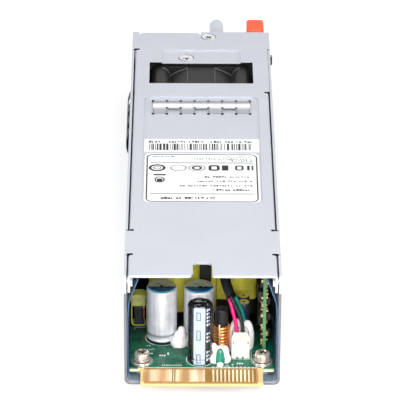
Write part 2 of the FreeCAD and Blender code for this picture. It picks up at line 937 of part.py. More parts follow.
def make_top_cover():
    """The cover: flat sheet with folded lips, a rear tongue and two pressed recesses."""
    body = new_body("top_cover")
    pad(body, "XY", cover_under, S.case_height, cover_outline())
    relief = S.seam_relief
    side_notch = rear - S.side_notch_from_rear
    for side, runs in ((-1, ((front, tab_front - relief), (tab_rear + relief, rear_tab - relief))),
                       (1, ((front, tab_front - relief), (tab_rear + relief, side_notch - relief)))):
        for start, stop in runs:
            pad(body, "XZ", start, stop, lip_profile(side))
    tongue_low = S.case_height - S.cover_tongue_drop
    pad(body, "YZ", S.cover_tongue_left, S.cover_tongue_right, [
        (rear - 2, S.case_height), (rear, S.case_height, S.cover_bend_radius), (rear, tongue_low),
        (panel_in, tongue_low), (panel_in, cover_under), (rear - 2, cover_under)])
    label_loop = rectangle(-S.label_recess_half_width, front + S.label_recess_start,
                           S.label_recess_half_width,
                           front + S.label_recess_start + S.label_recess_length, S.label_recess_radius)
    screw_loop = rectangle(-S.screw_recess_half_width, window_rear, S.screw_recess_half_width,
                           screw_recess_rear)
    pad(body, "XY", recess_under, recess_z, label_loop, screw_loop)
    pocket(body, "XY", recess_z, S.case_height + 1, label_loop, screw_loop)
    pocket(body, "XY", recess_under - 1, S.case_height + 1,
           rectangle(-S.window_half_width, window_front, S.window_half_width, window_rear))
    strip_y = front + S.top_strip_centre
    pocket(body, "XY", recess_under - 1, S.case_height + 1, *strip_slot_loops(0, strip_y, 1))
    pocket(body, "XY", recess_under - 1, S.case_height + 1, *strip_relief_loops(0, strip_y))
    for x, y, z in cover_screw_places():
        profile = countersunk_profile(S.screw_head_radius, S.screw_shank_radius, gauge, gauge + 1,
                                      S.screw_clearance)
        groove(body, "XZ", (x, y, z), "V_Axis", profile)
    sink_lip_holes(body)
    return body


def sink_lip_holes(body):
    """Plain holes in the front lips for the side screws."""
    y, z = side_screw_place(1)[1:]
    radius = S.side_screw_shank_radius + S.screw_clearance
    pocket(body, "YZ", -seam_x - 1, -seam_x + gauge + 0.5, (y, z, radius))
    pocket(body, "YZ", seam_x - gauge - 0.5, seam_x + 1, (y, z, radius))


def cover_screw_places():
    """Where the two cover screws sit: on the cover, and in its screw recess."""
    return [(S.rear_screw_x, rear - S.rear_screw_from_rear, S.case_height),
            (S.fan_cover_screw_x, fan_screw_y, recess_z)]


def make_rear_panel():
    """The rear panel with its folded flanges, vents and cut-outs."""
    body = new_body("rear_panel")
    side = wall_in - S.panel_gap
    tongue_low = S.case_height - S.cover_tongue_drop - S.panel_gap
    slit = S.cover_tongue_relief
    pad(body, "XZ", panel_in, rear, [
        (-side, gauge + S.panel_gap, 1), (side, gauge + S.panel_gap, 1),
        (side, cover_under), (S.cover_tongue_right + slit, cover_under),
        (S.cover_tongue_right + slit, tongue_low), (S.cover_tongue_left - slit, tongue_low),
        (S.cover_tongue_left - slit, cover_under), (-side, cover_under)])
    flange_front = panel_in - S.panel_flange_depth
    top = S.panel_side_flange_top
    pad(body, "YZ", -wall_in, -wall_in + gauge, rectangle(flange_front, 6, panel_in + gauge / 2, top))
    pad(body, "YZ", wall_in - gauge, wall_in, rectangle(flange_front, 6, panel_in + gauge / 2, top))
    pad(body, "XY", cover_under - gauge, cover_under,
        rectangle(S.cover_tongue_right + slit, flange_front, S.rear_screw_x + 8,
                  panel_in + gauge / 2))
    screw_x, screw_y = cover_screw_places()[0][:2]
    radius = S.screw_shank_radius + S.screw_clearance
    pocket(body, "XY", cover_under - gauge - 1, cover_under + 1, (screw_x, screw_y, radius))
    cut_rear_openings(body)
    return body


def cut_rear_openings(body):
    """Holes in the rear panel for the inlet, handle, light, latch and air."""
    gap = S.inlet_cutout_gap
    wide = S.inlet_body_width / 2 + gap
    high = S.inlet_body_height / 2 + gap
    low_y = panel_in - 1
    high_y = rear + 1
    pocket(body, "XZ", low_y, high_y,
           rectangle(S.inlet_x - wide, S.inlet_z - high, S.inlet_x + wide, S.inlet_z + high))
    holes = [(S.handle_x, z, S.handle_screw_radius + S.screw_clearance)
             for z in (S.handle_bottom, S.handle_top)]
    holes.append((S.led_x, S.led_z, S.led_radius + S.screw_clearance))
    pocket(body, "XZ", low_y, high_y, *holes)
    vents = []
    for i in range(SIZES["vent_count"]):
        low = S.vent_bottom + S.vent_pitch * i
        vents.append(rectangle(S.vent_left, low, S.vent_left + S.vent_width, low + S.vent_height,
                               S.vent_height * 0.45))
    pocket(body, "XZ", low_y, high_y, *vents)
    pocket(body, "XZ", low_y, high_y,
           rectangle(lever_in - S.latch_swing_room, S.latch_low - 0.6, lever_out + 0.3,
                     S.latch_high + 0.6))


def make_screw(name, head, shank, depth, length, point, direction):
    """A countersunk screw whose flat face lies at a point."""
    return fuse(name,
                cone(name + "_head", head, shank, depth, point, direction),
                cylinder(name + "_shank", shank, length, point, direction))


def make_casing_screws():
    """The cover screws, the side screws and the nuts that they turn into."""
    cover = [make_screw("cover_screw_%d" % i, S.screw_head_radius, S.screw_shank_radius, gauge,
                        S.cover_screw_length, place, "-z")
             for i, place in enumerate(cover_screw_places(), start=1)]
    sides = [make_screw("side_screw_%s" % name, S.side_screw_head_radius, S.side_screw_shank_radius,
                        gauge, half - seam_x + gauge + S.side_nut_height, side_screw_place(side),
                        direction)
             for name, side, direction in (("left", -1, "+x"), ("right", 1, "-x"))]
    nuts = []
    for i, (x, y, z) in enumerate(cover_screw_places(), start=1):
        nuts.append(make_nut("cover_nut_%d" % i, S.cover_nut_radius, S.screw_shank_radius,
                             S.cover_nut_height, (x, y, z - 2 * gauge), "-z"))
    for name, side, direction in (("left", -1, "+x"), ("right", 1, "-x")):
        y, z = side_screw_place(side)[1:]
        nuts.append(make_nut("side_nut_" + name, S.side_nut_radius, S.side_screw_shank_radius,
                             S.side_nut_height, ((seam_x - gauge) * side, y, z), direction))
    return [group("casing_screws", cover + sides), group("press_fittings", nuts + make_standoffs())]


def make_nut(name, radius, shank, height, point, direction):
    """A hexagonal press nut."""
    prism = doc.addObject("Part::Prism", name + "_hexagon")
    prism.Polygon = 6
    bind(prism, "Circumradius", radius)
    bind(prism, "Height", height)
    stand(prism, point, direction)
    hole = cylinder(name + "_thread", shank + S.screw_clearance, height, point, direction)
    return cut(name, prism, hole)


def make_labels():
    """The rating label and the serial label in the cover's recess."""
    rating_front = front + S.label_recess_start + S.label_margin
    rating_rear = rating_front + S.rating_label_length
    serial_front = rating_rear + S.label_gap
    rating = new_body("rating_label")
    wide = S.rating_label_half_width
    pad(rating, "XY", recess_z, recess_z + S.label_gauge,
        rectangle(-wide, rating_front, wide, rating_rear, S.rating_label_radius))
    serial = new_body("serial_label")
    wide = S.serial_label_half_width
    pad(serial, "XY", recess_z, recess_z + S.label_gauge,
        rectangle(-wide, serial_front, wide, serial_front + S.serial_label_length))
    return [rating, serial]


def make_strip(name):
    """One stamped contact strip about its own centre, its crown towards +Z."""
    body = new_body(name)
    edges = strip_cells()
    reach = S.strip_width / 2
    t = S.strip_gauge
    crown = S.strip_rise
    rounding = 8.0
    pad(body, "YZ", edges[0], edges[-1], [
        (-reach, -S.strip_leg), (-reach, t), (-1.75, crown + t, rounding), (1.75, crown + t, rounding),
        (reach, t), (reach, -S.strip_leg), (reach - t, -S.strip_leg), (reach - t, 0),
        (1.75, crown, rounding), (-1.75, crown, rounding), (-reach + t, 0),
        (-reach + t, -S.strip_leg)])
    short = reach - S.strip_short_width
    cells = [rectangle(edges[i], -reach - 1, edges[i + 1], short)
             for i in range(1, SIZES["strip_cells"], 2)]
    pocket(body, "XY", -S.strip_leg - 1, crown + 1, *cells)
    size = S.strip_notch
    corner = reach - S.strip_hole_length / 2
    notches = []
    for edge in edges[1:-1]:
        notches.append(diamond(edge, short + size / 2, size))
        notches.append(diamond(edge, corner - S.strip_notch_gap - size, size))
    pocket(body, "XY", -S.strip_leg - 1, crown + 1, *notches)
    half_hole = S.strip_hole / 2
    leg_gaps = [rectangle(edge - half_hole, corner, edge + half_hole, reach + 1) for edge in edges]
    leg_gaps += [rectangle(edge - half_hole, -reach - 1, edge + half_hole, -corner) for edge in edges]
    pocket(body, "XY", -S.strip_leg - 1, crown + 1, *leg_gaps)
    return body


def diamond(x, y, size):
    """A small square on its corner."""
    return [(x - size, y), (x, y - size), (x + size, y), (x, y + size)]


def make_contact_strips():
    """The two contact strips: on the cover and on the left wall."""
    top = make_strip("top_strip")
    bind_place(top, (0, front + S.top_strip_centre, recess_z))
    side = make_strip("side_strip")
    turned = FreeCAD.Rotation(FreeCAD.Vector(0, 1, 0), FreeCAD.Vector(0, 0, 1),
                              FreeCAD.Vector(-1, 0, 0), "ZXY")
    side.Placement.Rotation = turned
    bind_place(side, (-half, front + S.side_strip_centre, S.side_strip_height))
    return group("contact_strips", [top, side])


def make_insulation_film():
    """The folded plastic film between the board and the tray."""
    right = [(20.6, 38.3), (23.5, 30.0), (wall_in - 0.25, 24.3), (wall_in - 0.3, 2.9),
             (wall_in - 1.6, 1.3)]
    points = [(-float(x), float(z)) for x, z in right] + [(float(x), z) for x, z in reversed(right)]
    start = float(front + S.film_front_gap)
    line = Part.makePolygon([FreeCAD.Vector(x, start, z) for x, z in points])
    inner = []
    for i, (x, z) in enumerate(points):
        a = points[max(i - 1, 0)]
        b = points[min(i + 1, len(points) - 1)]
        run = FreeCAD.Vector(b[0] - a[0], 0, b[1] - a[1]).normalize()
        inner.append(FreeCAD.Vector(x, start, z) + FreeCAD.Vector(-run.z, 0, run.x) * SIZES["film_gauge"])
    closed = [vertex.Point for vertex in line.Vertexes] + inner[::-1]
    face = Part.Face(Part.makePolygon(closed + closed[:1]))
    sheet = shape("film_sheet", face.extrude(FreeCAD.Vector(0, SIZES["film_length"], 0)))
    holes = [cylinder("film_hole_%d" % i, S.standoff_radius + 0.3, 4, (x, y, 0))
             for i, (x, y) in enumerate(board_screw_places(), start=1)]
    return cut("insulation_film", sheet, *holes)


# Rear: inlet, handle, light and latch

def make_inlet():
    """The mains inlet housing and its three blades."""
    body = new_body("ac_inlet")
    x, z = S.inlet_x, S.inlet_z
    face = rear + S.inlet_flange_depth
    wide, high = S.inlet_flange_width / 2, S.inlet_flange_height / 2
    pad(body, "XZ", rear, face, rectangle(x - wide, z - high, x + wide, z + high, 1.5))
    wide, high = S.inlet_body_width / 2, S.inlet_body_height / 2
    back = rear - S.inlet_body_depth
    pad(body, "XZ", back, rear, rectangle(x - wide, z - high, x + wide, z + high, 1.0))
    wide, high = S.inlet_cavity_width / 2, S.inlet_cavity_height / 2
    bevel = S.inlet_cavity_chamfer
    pocket(body, "XZ", face - S.inlet_cavity_depth, face + 1, [
        (x - wide, z - high + bevel), (x - wide + bevel, z - high), (x + wide, z - high, 1),
        (x + wide, z + high, 1), (x - wide + bevel, z + high), (x - wide, z + high - bevel)])
    pocket(body, "XZ", back - 1, face - S.inlet_cavity_depth + 1,
           *[blade_loop(*place) for place in blade_places()])
    return body


def blade_places():
    """The centres of the live, neutral and earth blades."""
    x, z = S.inlet_x, S.inlet_z
    return [(x + 1.2, z - S.blade_spacing), (x + 1.2, z + S.blade_spacing),
            (x + 1.2 - S.earth_blade_offset, z)]


def blade_loop(x, z):
    """The cross-section of one blade."""
    wide, high = S.blade_width / 2, S.blade_thickness / 2
    return rectangle(x - wide, z - high, x + wide, z + high)


def make_inlet_pins():
    """Three blades that end in flat terminals behind the housing."""
    back = rear - S.inlet_body_depth
    tip = rear + S.inlet_flange_depth - S.blade_recess
    pins = []
    for i, (x, z) in enumerate(blade_places(), start=1):
        pin = new_body("inlet_pin_%d" % i)
        blade = pad(pin, "XZ", back, tip, blade_loop(x, z))
        chamfer_edges(pin, blade, 0.5, lambda middle: middle.y > float(tip) - 1e-3)
        wide, high = S.terminal_width / 2, S.terminal_thickness / 2
        pad(pin, "XZ", back - S.terminal_length, back, rectangle(x - wide, z - high, x + wide, z + high))
        pins.append(pin)
    return group("inlet_pins", pins)


def make_handle():
    """The bent rod handle and the two screws that hold it."""
    body = new_body("pull_handle")
    x, reach = S.handle_x, rear + S.handle_reach
    top, low = S.handle_top, S.handle_bottom
    section = draw(body, "XZ", rear, [(x, top, S.handle_rod_radius)])
    path = draw(body, "YZ", x, [[(rear, top), (reach, top, S.handle_bend_radius),
                                 (reach, low, S.handle_bend_radius), (rear, low)]], closed=False)
    pipe = body.newObject("PartDesign::AdditivePipe", "Pipe")
    pipe.Profile = section
    pipe.Spine = (path, [])
    doc.recompute()
    collar = S.handle_collar_radius
    pad(body, "XZ", rear, rear + S.handle_collar_length, (x, top, collar), (x, low, collar))
    hole = S.handle_screw_radius + S.screw_clearance
    pocket(body, "XZ", rear - 1, rear + S.handle_screw_grip + 1, (x, top, hole), (x, low, hole))
    screws = []
    for name, z in (("top", top), ("bottom", low)):
        head = cylinder("handle_screw_head_" + name, S.handle_screw_head_radius,
                        S.handle_screw_head_height, (x, panel_in, z), "-y")
        shank = cylinder("handle_screw_shank_" + name, S.handle_screw_radius,
                         S.handle_screw_grip + gauge, (x, panel_in, z), "+y")
        screws.append(fuse("handle_screw_" + name, head, shank))
    return [body, group("handle_screws", screws)]


def make_status_light():
    """The lens of the status light, pushed through the rear panel."""
    body = new_body("status_light")
    r, flange = S.led_radius, S.led_flange_radius
    revolve(body, "XY", (S.led_x, panel_in, S.led_z), "V_Axis", [
        (0, -S.led_length), (r, -S.led_length), (r, -0.8), (flange, -0.8), (flange, 0), (r, 0),
        (r, gauge + 0.9, 0.7), (0, gauge + 0.9)])
    return body


def make_latch():
    """The side latch: bracket, pin, lever, spring and finger tab."""
    return [make_latch_bracket(), make_latch_pin(), make_latch_lever(), make_latch_spring(),
            make_latch_tab()]


def latch_ear_levels():
    """Lowest and highest faces of the two bracket ears."""
    low = S.spring_low - S.ear_gap
    high = S.latch_high + S.ear_gap
    return low - S.ear_gauge, low, high, high + S.ear_gauge


def make_latch_bracket():
    """A clevis on the right wall with two ears and a front stop."""
    body = new_body("latch_bracket")
    low_out, low_in, high_in, high_out = latch_ear_levels()
    start = pivot_y - S.ear_half_length
    stop = pivot_y + S.ear_half_length
    side = wall_in - S.ear_gauge
    inner = pivot_x - S.ear_reach
    pad(body, "YZ", side, wall_in, rectangle(start, low_out, stop, high_out))
    pad(body, "XY", low_out, low_in, rectangle(inner, start, wall_in, stop))
    pad(body, "XY", high_in, high_out, rectangle(inner, start, wall_in, stop))
    pad(body, "XZ", start, start + S.ear_gauge, rectangle(inner, low_out, wall_in, high_out))
    pocket(body, "XY", low_out - 1, high_out + 1, (pivot_x, pivot_y, S.latch_pin_radius))
    return body


def make_latch_pin():
    """The pivot pin, headed at the top."""
    low_out, _, _, high_out = latch_ear_levels()
    shank = cylinder("latch_pin_shank", S.latch_pin_radius, high_out - low_out,
                     (pivot_x, pivot_y, low_out))
    head = cylinder("latch_pin_head", S.latch_pin_radius + S.pin_head_overhang, S.pin_head_height,
                    (pivot_x, pivot_y, high_out))
    return fuse("latch_pin", shank, head)


def make_latch_lever():
    """The steel lever: knuckle, arm and the hook that holds the module in its bay."""
    body = new_body("latch_lever")
    end = rear + S.latch_reach + S.tab_slot_depth
    pad(body, "XY", S.latch_low, S.latch_high, (pivot_x, pivot_y, S.latch_knuckle_radius))
    pad(body, "XY", S.latch_low, S.latch_high, rectangle(lever_in, pivot_y, lever_out, end))
    skirt_start = pivot_y + S.skirt_from_pivot
    pad(body, "XY", S.latch_skirt_low, S.latch_low,
        rectangle(lever_in, skirt_start, lever_out, skirt_start + S.skirt_length))
    hook_x = half + S.hook_reach
    pad(body, "XY", S.hook_low, S.hook_high, [
        (lever_out, S.hook_front), (hook_x, S.hook_crest, 0.6), (hook_x, S.hook_rear, 0.4),
        (lever_out, S.hook_rear)])
    pocket(body, "XY", S.latch_low - 1, S.latch_high + 1,
           (pivot_x, pivot_y, S.latch_pin_radius + S.latch_running_gap))
    return body


def make_latch_spring():
    """A leaf spring from the bracket's front stop to the lever's skirt."""
    start = float(pivot_y - S.ear_half_length + S.ear_gauge)
    left = float(pivot_x) - 2.1
    contact = float(lever_in) - 0.05
    t = SIZES["spring_gauge"]
    outer = [(left + 3.2, start), (left, start), (left, start + 4.6), (contact - t, start + 8.6),
             (contact - t - 0.5, start + 10.4)]
    inner = [(contact - 0.5, start + 10.4), (contact, start + 8.6), (left + t, start + 4.4),
             (left + t, start + t), (left + 3.2, start + t)]
    low = SIZES["spring_low"]
    points = [FreeCAD.Vector(x, y, low) for x, y in outer + inner]
    face = Part.Face(Part.makePolygon(points + points[:1]))
    return shape("latch_spring", face.extrude(FreeCAD.Vector(0, 0, SIZES["spring_height"])))


def make_latch_tab():
    """The moulded finger tab on the end of the lever."""
    body = new_body("latch_tab")
    stop = tab_y + S.tab_length
    block = pad(body, "XY", S.tab_low, S.tab_high,
                rectangle(S.tab_left, tab_y, S.tab_right, stop, S.tab_radius))
    top = float(S.tab_high)
    chamfer_edges(body, block, SIZES["tab_chamfer"], lambda middle: middle.z > top - 1e-3)
    neck = S.tab_neck
    pad(body, "XY", S.latch_low - neck, S.latch_high, [
        (lever_in - neck, rear + 6), (lever_out + neck * 0.4, rear + 6),
        (lever_out + neck * 0.4, tab_y + 1), (S.tab_left + 1.5, tab_y + 1)])
    end = rear + S.latch_reach + S.tab_slot_depth
    pocket(body, "XY", S.latch_low, S.latch_high, rectangle(lever_in, rear + 5, lever_out, end))
    return body


# Fan

def make_fan_frame():
    """The fan housing: two square flanges, barrel, corner posts, struts and motor base."""
    body = new_body("fan_frame")
    bind_place(body, (0, fan_front, fan_z))
    depth, flange = S.fan_depth, S.fan_flange
    square = rectangle(-fan_half, -fan_half, fan_half, fan_half, S.fan_post_radius)
    pad(body, "XZ", 0, flange, square)
    pad(body, "XZ", depth - flange, depth, square)
    pad(body, "XZ", flange, depth - flange, (0, 0, S.fan_barrel_radius))
    outside = S.fan_size
    pocket(body, "XZ", flange, depth - flange, rectangle(-outside, -outside, outside, outside),
           rectangle(-fan_half, -fan_half, fan_half, fan_half))
    offset = S.fan_hole_offset
    corners = [(offset * i, offset * j) for i in (-1, 1) for j in (-1, 1)]
    for x, z in corners:
        pad(body, "XZ", flange, depth - flange, (x, z, S.fan_post_radius))
    pocket(body, "XZ", -1, depth + 1, (0, 0, S.fan_bore_radius))
    pocket(body, "XZ", -1, depth + 1, *[(x, z, S.fan_hole_radius) for x, z in corners])
    base = depth - S.fan_base_depth
    pad(body, "XZ", base, depth, (0, 0, S.fan_base_radius))
    width = S.fan_strut_width / 2
    strut = pad(body, "XZ", base, depth, [
        (-width, S.fan_base_radius - 1), (width, S.fan_base_radius - 1),
        (width, S.fan_bore_radius + 0.4), (-width, S.fan_bore_radius + 0.4)])
    pattern(body, strut, 3)
    tube_front = base - 2 * S.fan_bearing_length - S.fan_tube_length
    pad(body, "XZ", tube_front, base + 0.1, (0, 0, S.fan_tube_radius))
    pocket(body, "XZ", tube_front - 1, depth - 0.6, (0, 0, S.fan_bearing_radius))
    return body


def pattern(body, feature, count):
    """Repeat a feature around the body's own Y axis."""
    axis = next(item for item in body.Origin.OriginFeatures if item.Role == "Y_Axis")
    ring = body.newObject("PartDesign::PolarPattern", "PolarPattern")
    ring.Originals = [feature]
    ring.Axis = (axis, [""])
    ring.Angle = 360
    ring.Occurrences = count
    body.Tip = ring
    doc.recompute()
    return ring


def blade_section(sweep, gauge_value):
    """Outline of a fan blade's section: a cambered sheet from inlet to outlet."""
    reach = S.blade_axial_half
    bow = S.blade_camber
    t = gauge_value / 2
    return [(-sweep - t, -reach), (bow * 0.7 - t, 0, 9), (sweep - t, reach), (sweep + t, reach),
            (bow * 0.7 + t, 0, 9), (-sweep + t, -reach)]


def make_fan_rotor():
    """The impeller: a cup-shaped hub with seven twisted blades."""
    body = new_body("fan_rotor")
    length = S.fan_depth - S.fan_base_depth - S.hub_rear_gap
    bind_place(body, (0, fan_front, fan_z))
    wall = S.hub_wall
    revolve(body, "XY", (0, 0, 0), "V_Axis", [
        (S.fan_shaft_radius, S.hub_front_gap), (S.hub_radius, S.hub_front_gap, 1.2),
        (S.hub_radius, length), (S.hub_radius - wall, length),
        (S.hub_radius - wall, S.hub_front_gap + wall), (S.fan_shaft_radius + 1.6, S.hub_front_gap + wall),
        (S.fan_shaft_radius + 1.6, S.hub_front_gap + wall + 1.2),
        (S.fan_shaft_radius, S.hub_front_gap + wall + 1.2)])
    middle = (S.hub_front_gap + length) / 2
    root = draw(body, "XY", S.hub_radius - 1.0, [blade_section(S.blade_root_sweep, S.fan_blade_gauge)],
                (0, middle))
    tip = draw(body, "XY", S.blade_tip_radius + 0.1, [blade_section(S.blade_tip_sweep, S.fan_blade_gauge)],
               (0, middle))
    loft = body.newObject("PartDesign::AdditiveLoft", "Loft")
    loft.Profile = root
    loft.Sections = [tip]
    loft.Ruled = True
    doc.recompute()
    pattern(body, loft, SIZES["blade_count"])
    trim_out = S.blade_tip_radius + 3
    groove(body, "XY", (0, 0, 0), "V_Axis", rectangle(S.blade_tip_radius, 0, trim_out, length + 1))
    return body


def make_fan_motor():
    """The rotor's magnet and shaft, and the bearings and stator that they turn in."""
    length = S.fan_depth - S.fan_base_depth - S.hub_rear_gap
    inner = S.hub_radius - S.hub_wall
    magnet_front = fan_front + S.hub_front_gap + S.hub_wall + S.magnet_setback
    magnet_height = S.fan_depth - S.fan_base_depth - S.hub_rear_gap - S.hub_front_gap - S.magnet_room
    magnet = cut("fan_magnet",
                 cylinder("magnet_outer", inner, magnet_height, (0, magnet_front, fan_z), "+y"),
                 cylinder("magnet_inner", inner - S.magnet_gauge, magnet_height,
                          (0, magnet_front, fan_z), "+y"))
    shaft_front = fan_front + S.hub_front_gap
    shaft = cylinder("fan_shaft", S.fan_shaft_radius, length - 0.2, (0, shaft_front, fan_z), "+y")
    base = fan_rear - S.fan_base_depth
    tube_front = base - 2 * S.fan_bearing_length - S.fan_tube_length
    bearings = []
    for i, start in enumerate((tube_front, base - S.fan_bearing_length), start=1):
        ring = cylinder("bearing_outer_%d" % i, S.fan_bearing_radius, S.fan_bearing_length,
                        (0, start, fan_z), "+y")
        bore = cylinder("bearing_bore_%d" % i, S.fan_shaft_radius + S.fan_shaft_gap,
                        S.fan_bearing_length, (0, start, fan_z), "+y")
        bearings.append(cut("fan_bearing_%d" % i, ring, bore))
    return [magnet, shaft, group("fan_bearings", bearings), make_fan_stator(), make_fan_circuit()]


def make_fan_stator():
    """Four-pole laminated stator, pressed on the bearing tube."""
    body = new_body("fan_stator")
    bind_place(body, (0, fan_front, fan_z))
    outer = S.hub_radius - S.hub_wall - S.magnet_gauge - S.stator_gap
    start = S.fan_depth - S.fan_base_depth - 2 * S.fan_bearing_length - S.stator_setback
    stop = start + S.stator_length
    pad(body, "XZ", start, stop, (0, 0, S.fan_tube_radius + S.stator_ring))
    arm, shoe, flat = S.pole_half_width, S.shoe_half_width, S.shoe_flat_half_width
    tip, neck, ear = outer - S.shoe_flat_drop, outer - S.shoe_neck_drop, outer - S.shoe_ear_drop
    pole = pad(body, "XZ", start, stop, [
        (-arm, 1), (arm, 1), (arm, neck), (shoe, ear), (flat, tip), (-flat, tip), (-shoe, ear),
        (-arm, neck)])
    pattern(body, pole, 4)
    pocket(body, "XZ", start - 1, stop + 1, (0, 0, S.fan_tube_radius))
    return body


def make_fan_circuit():
    """The ring-shaped drive board on the motor base."""
    base = fan_rear - S.fan_base_depth
    t = S.fan_circuit_gauge
    disc = cylinder("fan_circuit_disc", S.fan_base_radius - S.fan_circuit_inset, t,
                    (0, base - t, fan_z), "+y")
    hole = cylinder("fan_circuit_hole", S.fan_tube_radius, t, (0, base - t, fan_z), "+y")
    return cut("fan_circuit", disc, hole)


def fan_corner_places():
    """The four fan screw positions."""
    offset = S.fan_hole_offset
    return [(offset * i, fan_z + offset * j) for i in (-1, 1) for j in (-1, 1)]


def make_fan_bracket():
    """The sheet bracket behind the fan, with a foot under it and a tab under the cover."""
    body = new_body("fan_bracket")
    t = S.bracket_gauge
    top = recess_under
    foot_top = gauge + t
    pad(body, "XZ", fan_rear, fan_rear + t, rectangle(-fan_half, gauge, fan_half, top))
    pad(body, "XY", gauge, foot_top, rectangle(-fan_half, fan_front, fan_half, fan_rear + t))
    reach = S.screw_recess_half_width - 0.4
    pad(body, "XY", top - t, top,
        rectangle(-reach, fan_rear, reach, fan_rear + t + S.bracket_tab_length, 0.6))
    pocket(body, "XZ", fan_rear - 1, fan_rear + t + 1, (0, fan_z, S.fan_bore_radius - 0.3))
    pocket(body, "XZ", fan_rear - 1, fan_rear + t + 1,
           *[(x, z, S.screw_shank_radius + S.screw_clearance) for x, z in fan_corner_places()])
    x, y = cover_screw_places()[1][:2]
    pocket(body, "XY", top - t - 1, top + 1, (x, y, S.screw_shank_radius + S.screw_clearance))
    room = S.cover_nut_radius + S.nut_room
    nut_low = recess_z - 2 * gauge - S.cover_nut_height
    pocket(body, "XZ", fan_rear - 1, fan_rear + t + 1,
           rectangle(x - room, nut_low - S.nut_room, x + room, top - t))
    return body


def make_fan_mounting():
    """Bracket, rubber pad and the four screws that hold the fan."""
    pad_top = fan_z - fan_half
    rubber = box("fan_pad", (-fan_half + 1, fan_front + 1, gauge + S.bracket_gauge),
                 (fan_half - 1, fan_rear - 1, pad_top))
    screws = []
    back = fan_rear + S.bracket_gauge
    for i, (x, z) in enumerate(fan_corner_places(), start=1):
        head = cylinder("fan_screw_head_%d" % i, S.fan_screw_head_radius, S.fan_screw_head_height,
                        (x, back, z), "+y")
        shank = cylinder("fan_screw_shank_%d" % i, S.screw_shank_radius,
                         S.fan_screw_grip + S.bracket_gauge, (x, back, z), "-y")
        screws.append(fuse("fan_screw_%d" % i, head, shank))
    return [make_fan_bracket(), rubber, group("fan_screws", screws)]


# Fan wires

def corner_radius(before, here, after):
    """The largest tangent arc that two runs leave room for."""
    back = before - here
    ahead = after - here
    half_turn = (math.pi - back.getAngle(ahead)) / 2
    return 0.45 * min(back.Length, ahead.Length) / math.tan(half_turn)


def route_wire(name, points):
    """Straight runs joined by tangent arcs, as one path."""
    points = [FreeCAD.Vector(*point) for point in points]
    edges = []
    start = points[0]
    radii = []
    for before, here, after in zip(points, points[1:], points[2:]):
        radius = corner_radius(before, here, after)
        back = (before - here).normalize()
        ahead = (after - here).normalize()
        half_angle = back.getAngle(ahead) / 2
        reach = radius / math.tan(half_angle)
        bisector = (back + ahead).normalize()
        middle = here + bisector * (radius / math.sin(half_angle) - radius)
        edges.append(Part.LineSegment(start, here + back * reach).toShape())
        edges.append(Part.Arc(here + back * reach, middle, here + ahead * reach).toShape())
        start = here + ahead * reach
        radii.append(round(radius, 1))
    edges.append(Part.LineSegment(start, points[-1]).toShape())
    print(name, "arc radii", radii)
    return Part.Wire(edges)


def tube(name, points, radius):
    """A round tube along a route, checked by its volume."""
    path = route_wire(name, points)
    first = FreeCAD.Vector(*points[0])
    direction = FreeCAD.Vector(*points[1]) - first
    section = Part.Wire(Part.makeCircle(radius, first, direction))
    solid = path.makePipeShell([section], True, False)
    expected = math.pi * radius ** 2 * path.Length
    if abs(solid.Volume / expected - 1) > 0.02:
        raise RuntimeError("%s: tube volume %.1f, expected %.1f" % (name, solid.Volume, expected))
    return shape(name, solid)


# The fan lead, from its plug at the card edge to the fan frame, along its real route.
SLEEVE_ROUTE = [(9.3, -78.6, 24.6), (7.7, -75.0, 27.2), (6.3, -69.6, 32.0), (6.2, -62.8, 36.75),
                (6.9, -54.0, 36.85), (7.3, -42.0, 36.75), (7.0, -24.0, 36.8), (7.6, 0.0, 36.7),
                (8.6, 20.0, 35.8), (11.6, 31.0, 33.4), (14.4, 39.0, 30.4), (15.6, 47.9, 29.0)]
WIRE_ROUTES = {
    "fan_wire_red": [(11.15, -82.4, 13.6), (10.95, -82.3, 16.4), (10.1, -81.6, 19.6),
                     (9.13, -80.01, 23.09), (8.62, -78.87, 23.92)],
    "fan_wire_black": [(13.1, -82.4, 13.6), (12.95, -82.2, 16.6), (12.0, -81.6, 19.9),
                       (9.76, -80.67, 24.38), (9.26, -79.52, 25.21)],
    "fan_wire_green": [(13.3, -79.0, 15.9), (13.2, -78.9, 18.2), (12.3, -78.6, 20.9),
                       (11.2, -79.5, 23.7), (10.55, -79.15, 24.75)],
}


def make_fan_leads():
    """The black sleeve and the three wires that leave its open end."""
    pieces = [tube("fan_cable_sleeve", SLEEVE_ROUTE, SIZES["sleeve_radius"])]
    for name, points in WIRE_ROUTES.items():
        pieces.append(tube(name, points, SIZES["wire_radius"]))
    return pieces


# Main board and its card edge

def board_screw_places():
    """The two screws beside the tongue."""
    y = front + S.board_screw_from_front
    return [(-S.board_screw_x, y), (S.board_screw_x, y)]


def make_main_board():
    """The main board with its card edge tongue."""
    body = new_body("main_board")
    wide, tongue, x = S.board_half_width, S.tongue_half_width, S.board_shift
    tip = front - S.tongue_reach
    sheet = pad(body, "XY", S.board_bottom, board_top, [
        (x - wide, board_front), (x - tongue, board_front, 0.3), (x - tongue, tip, 0.5),
        (x + tongue, tip, 0.5), (x + tongue, board_front, 0.3), (x + wide, board_front),
        (x + wide, board_rear), (x - wide, board_rear)])
    chamfer_edges(body, sheet, S.tongue_bevel,
                  lambda middle: middle.y < float(tip) + 1e-3 and abs(middle.x - float(x)) < 1)
    radius = S.board_screw_radius + S.board_hole_gap
    pocket(body, "XY", S.board_bottom - 1, board_top + 1,
           *[(px, py, radius) for px, py in board_screw_places()])
    return body


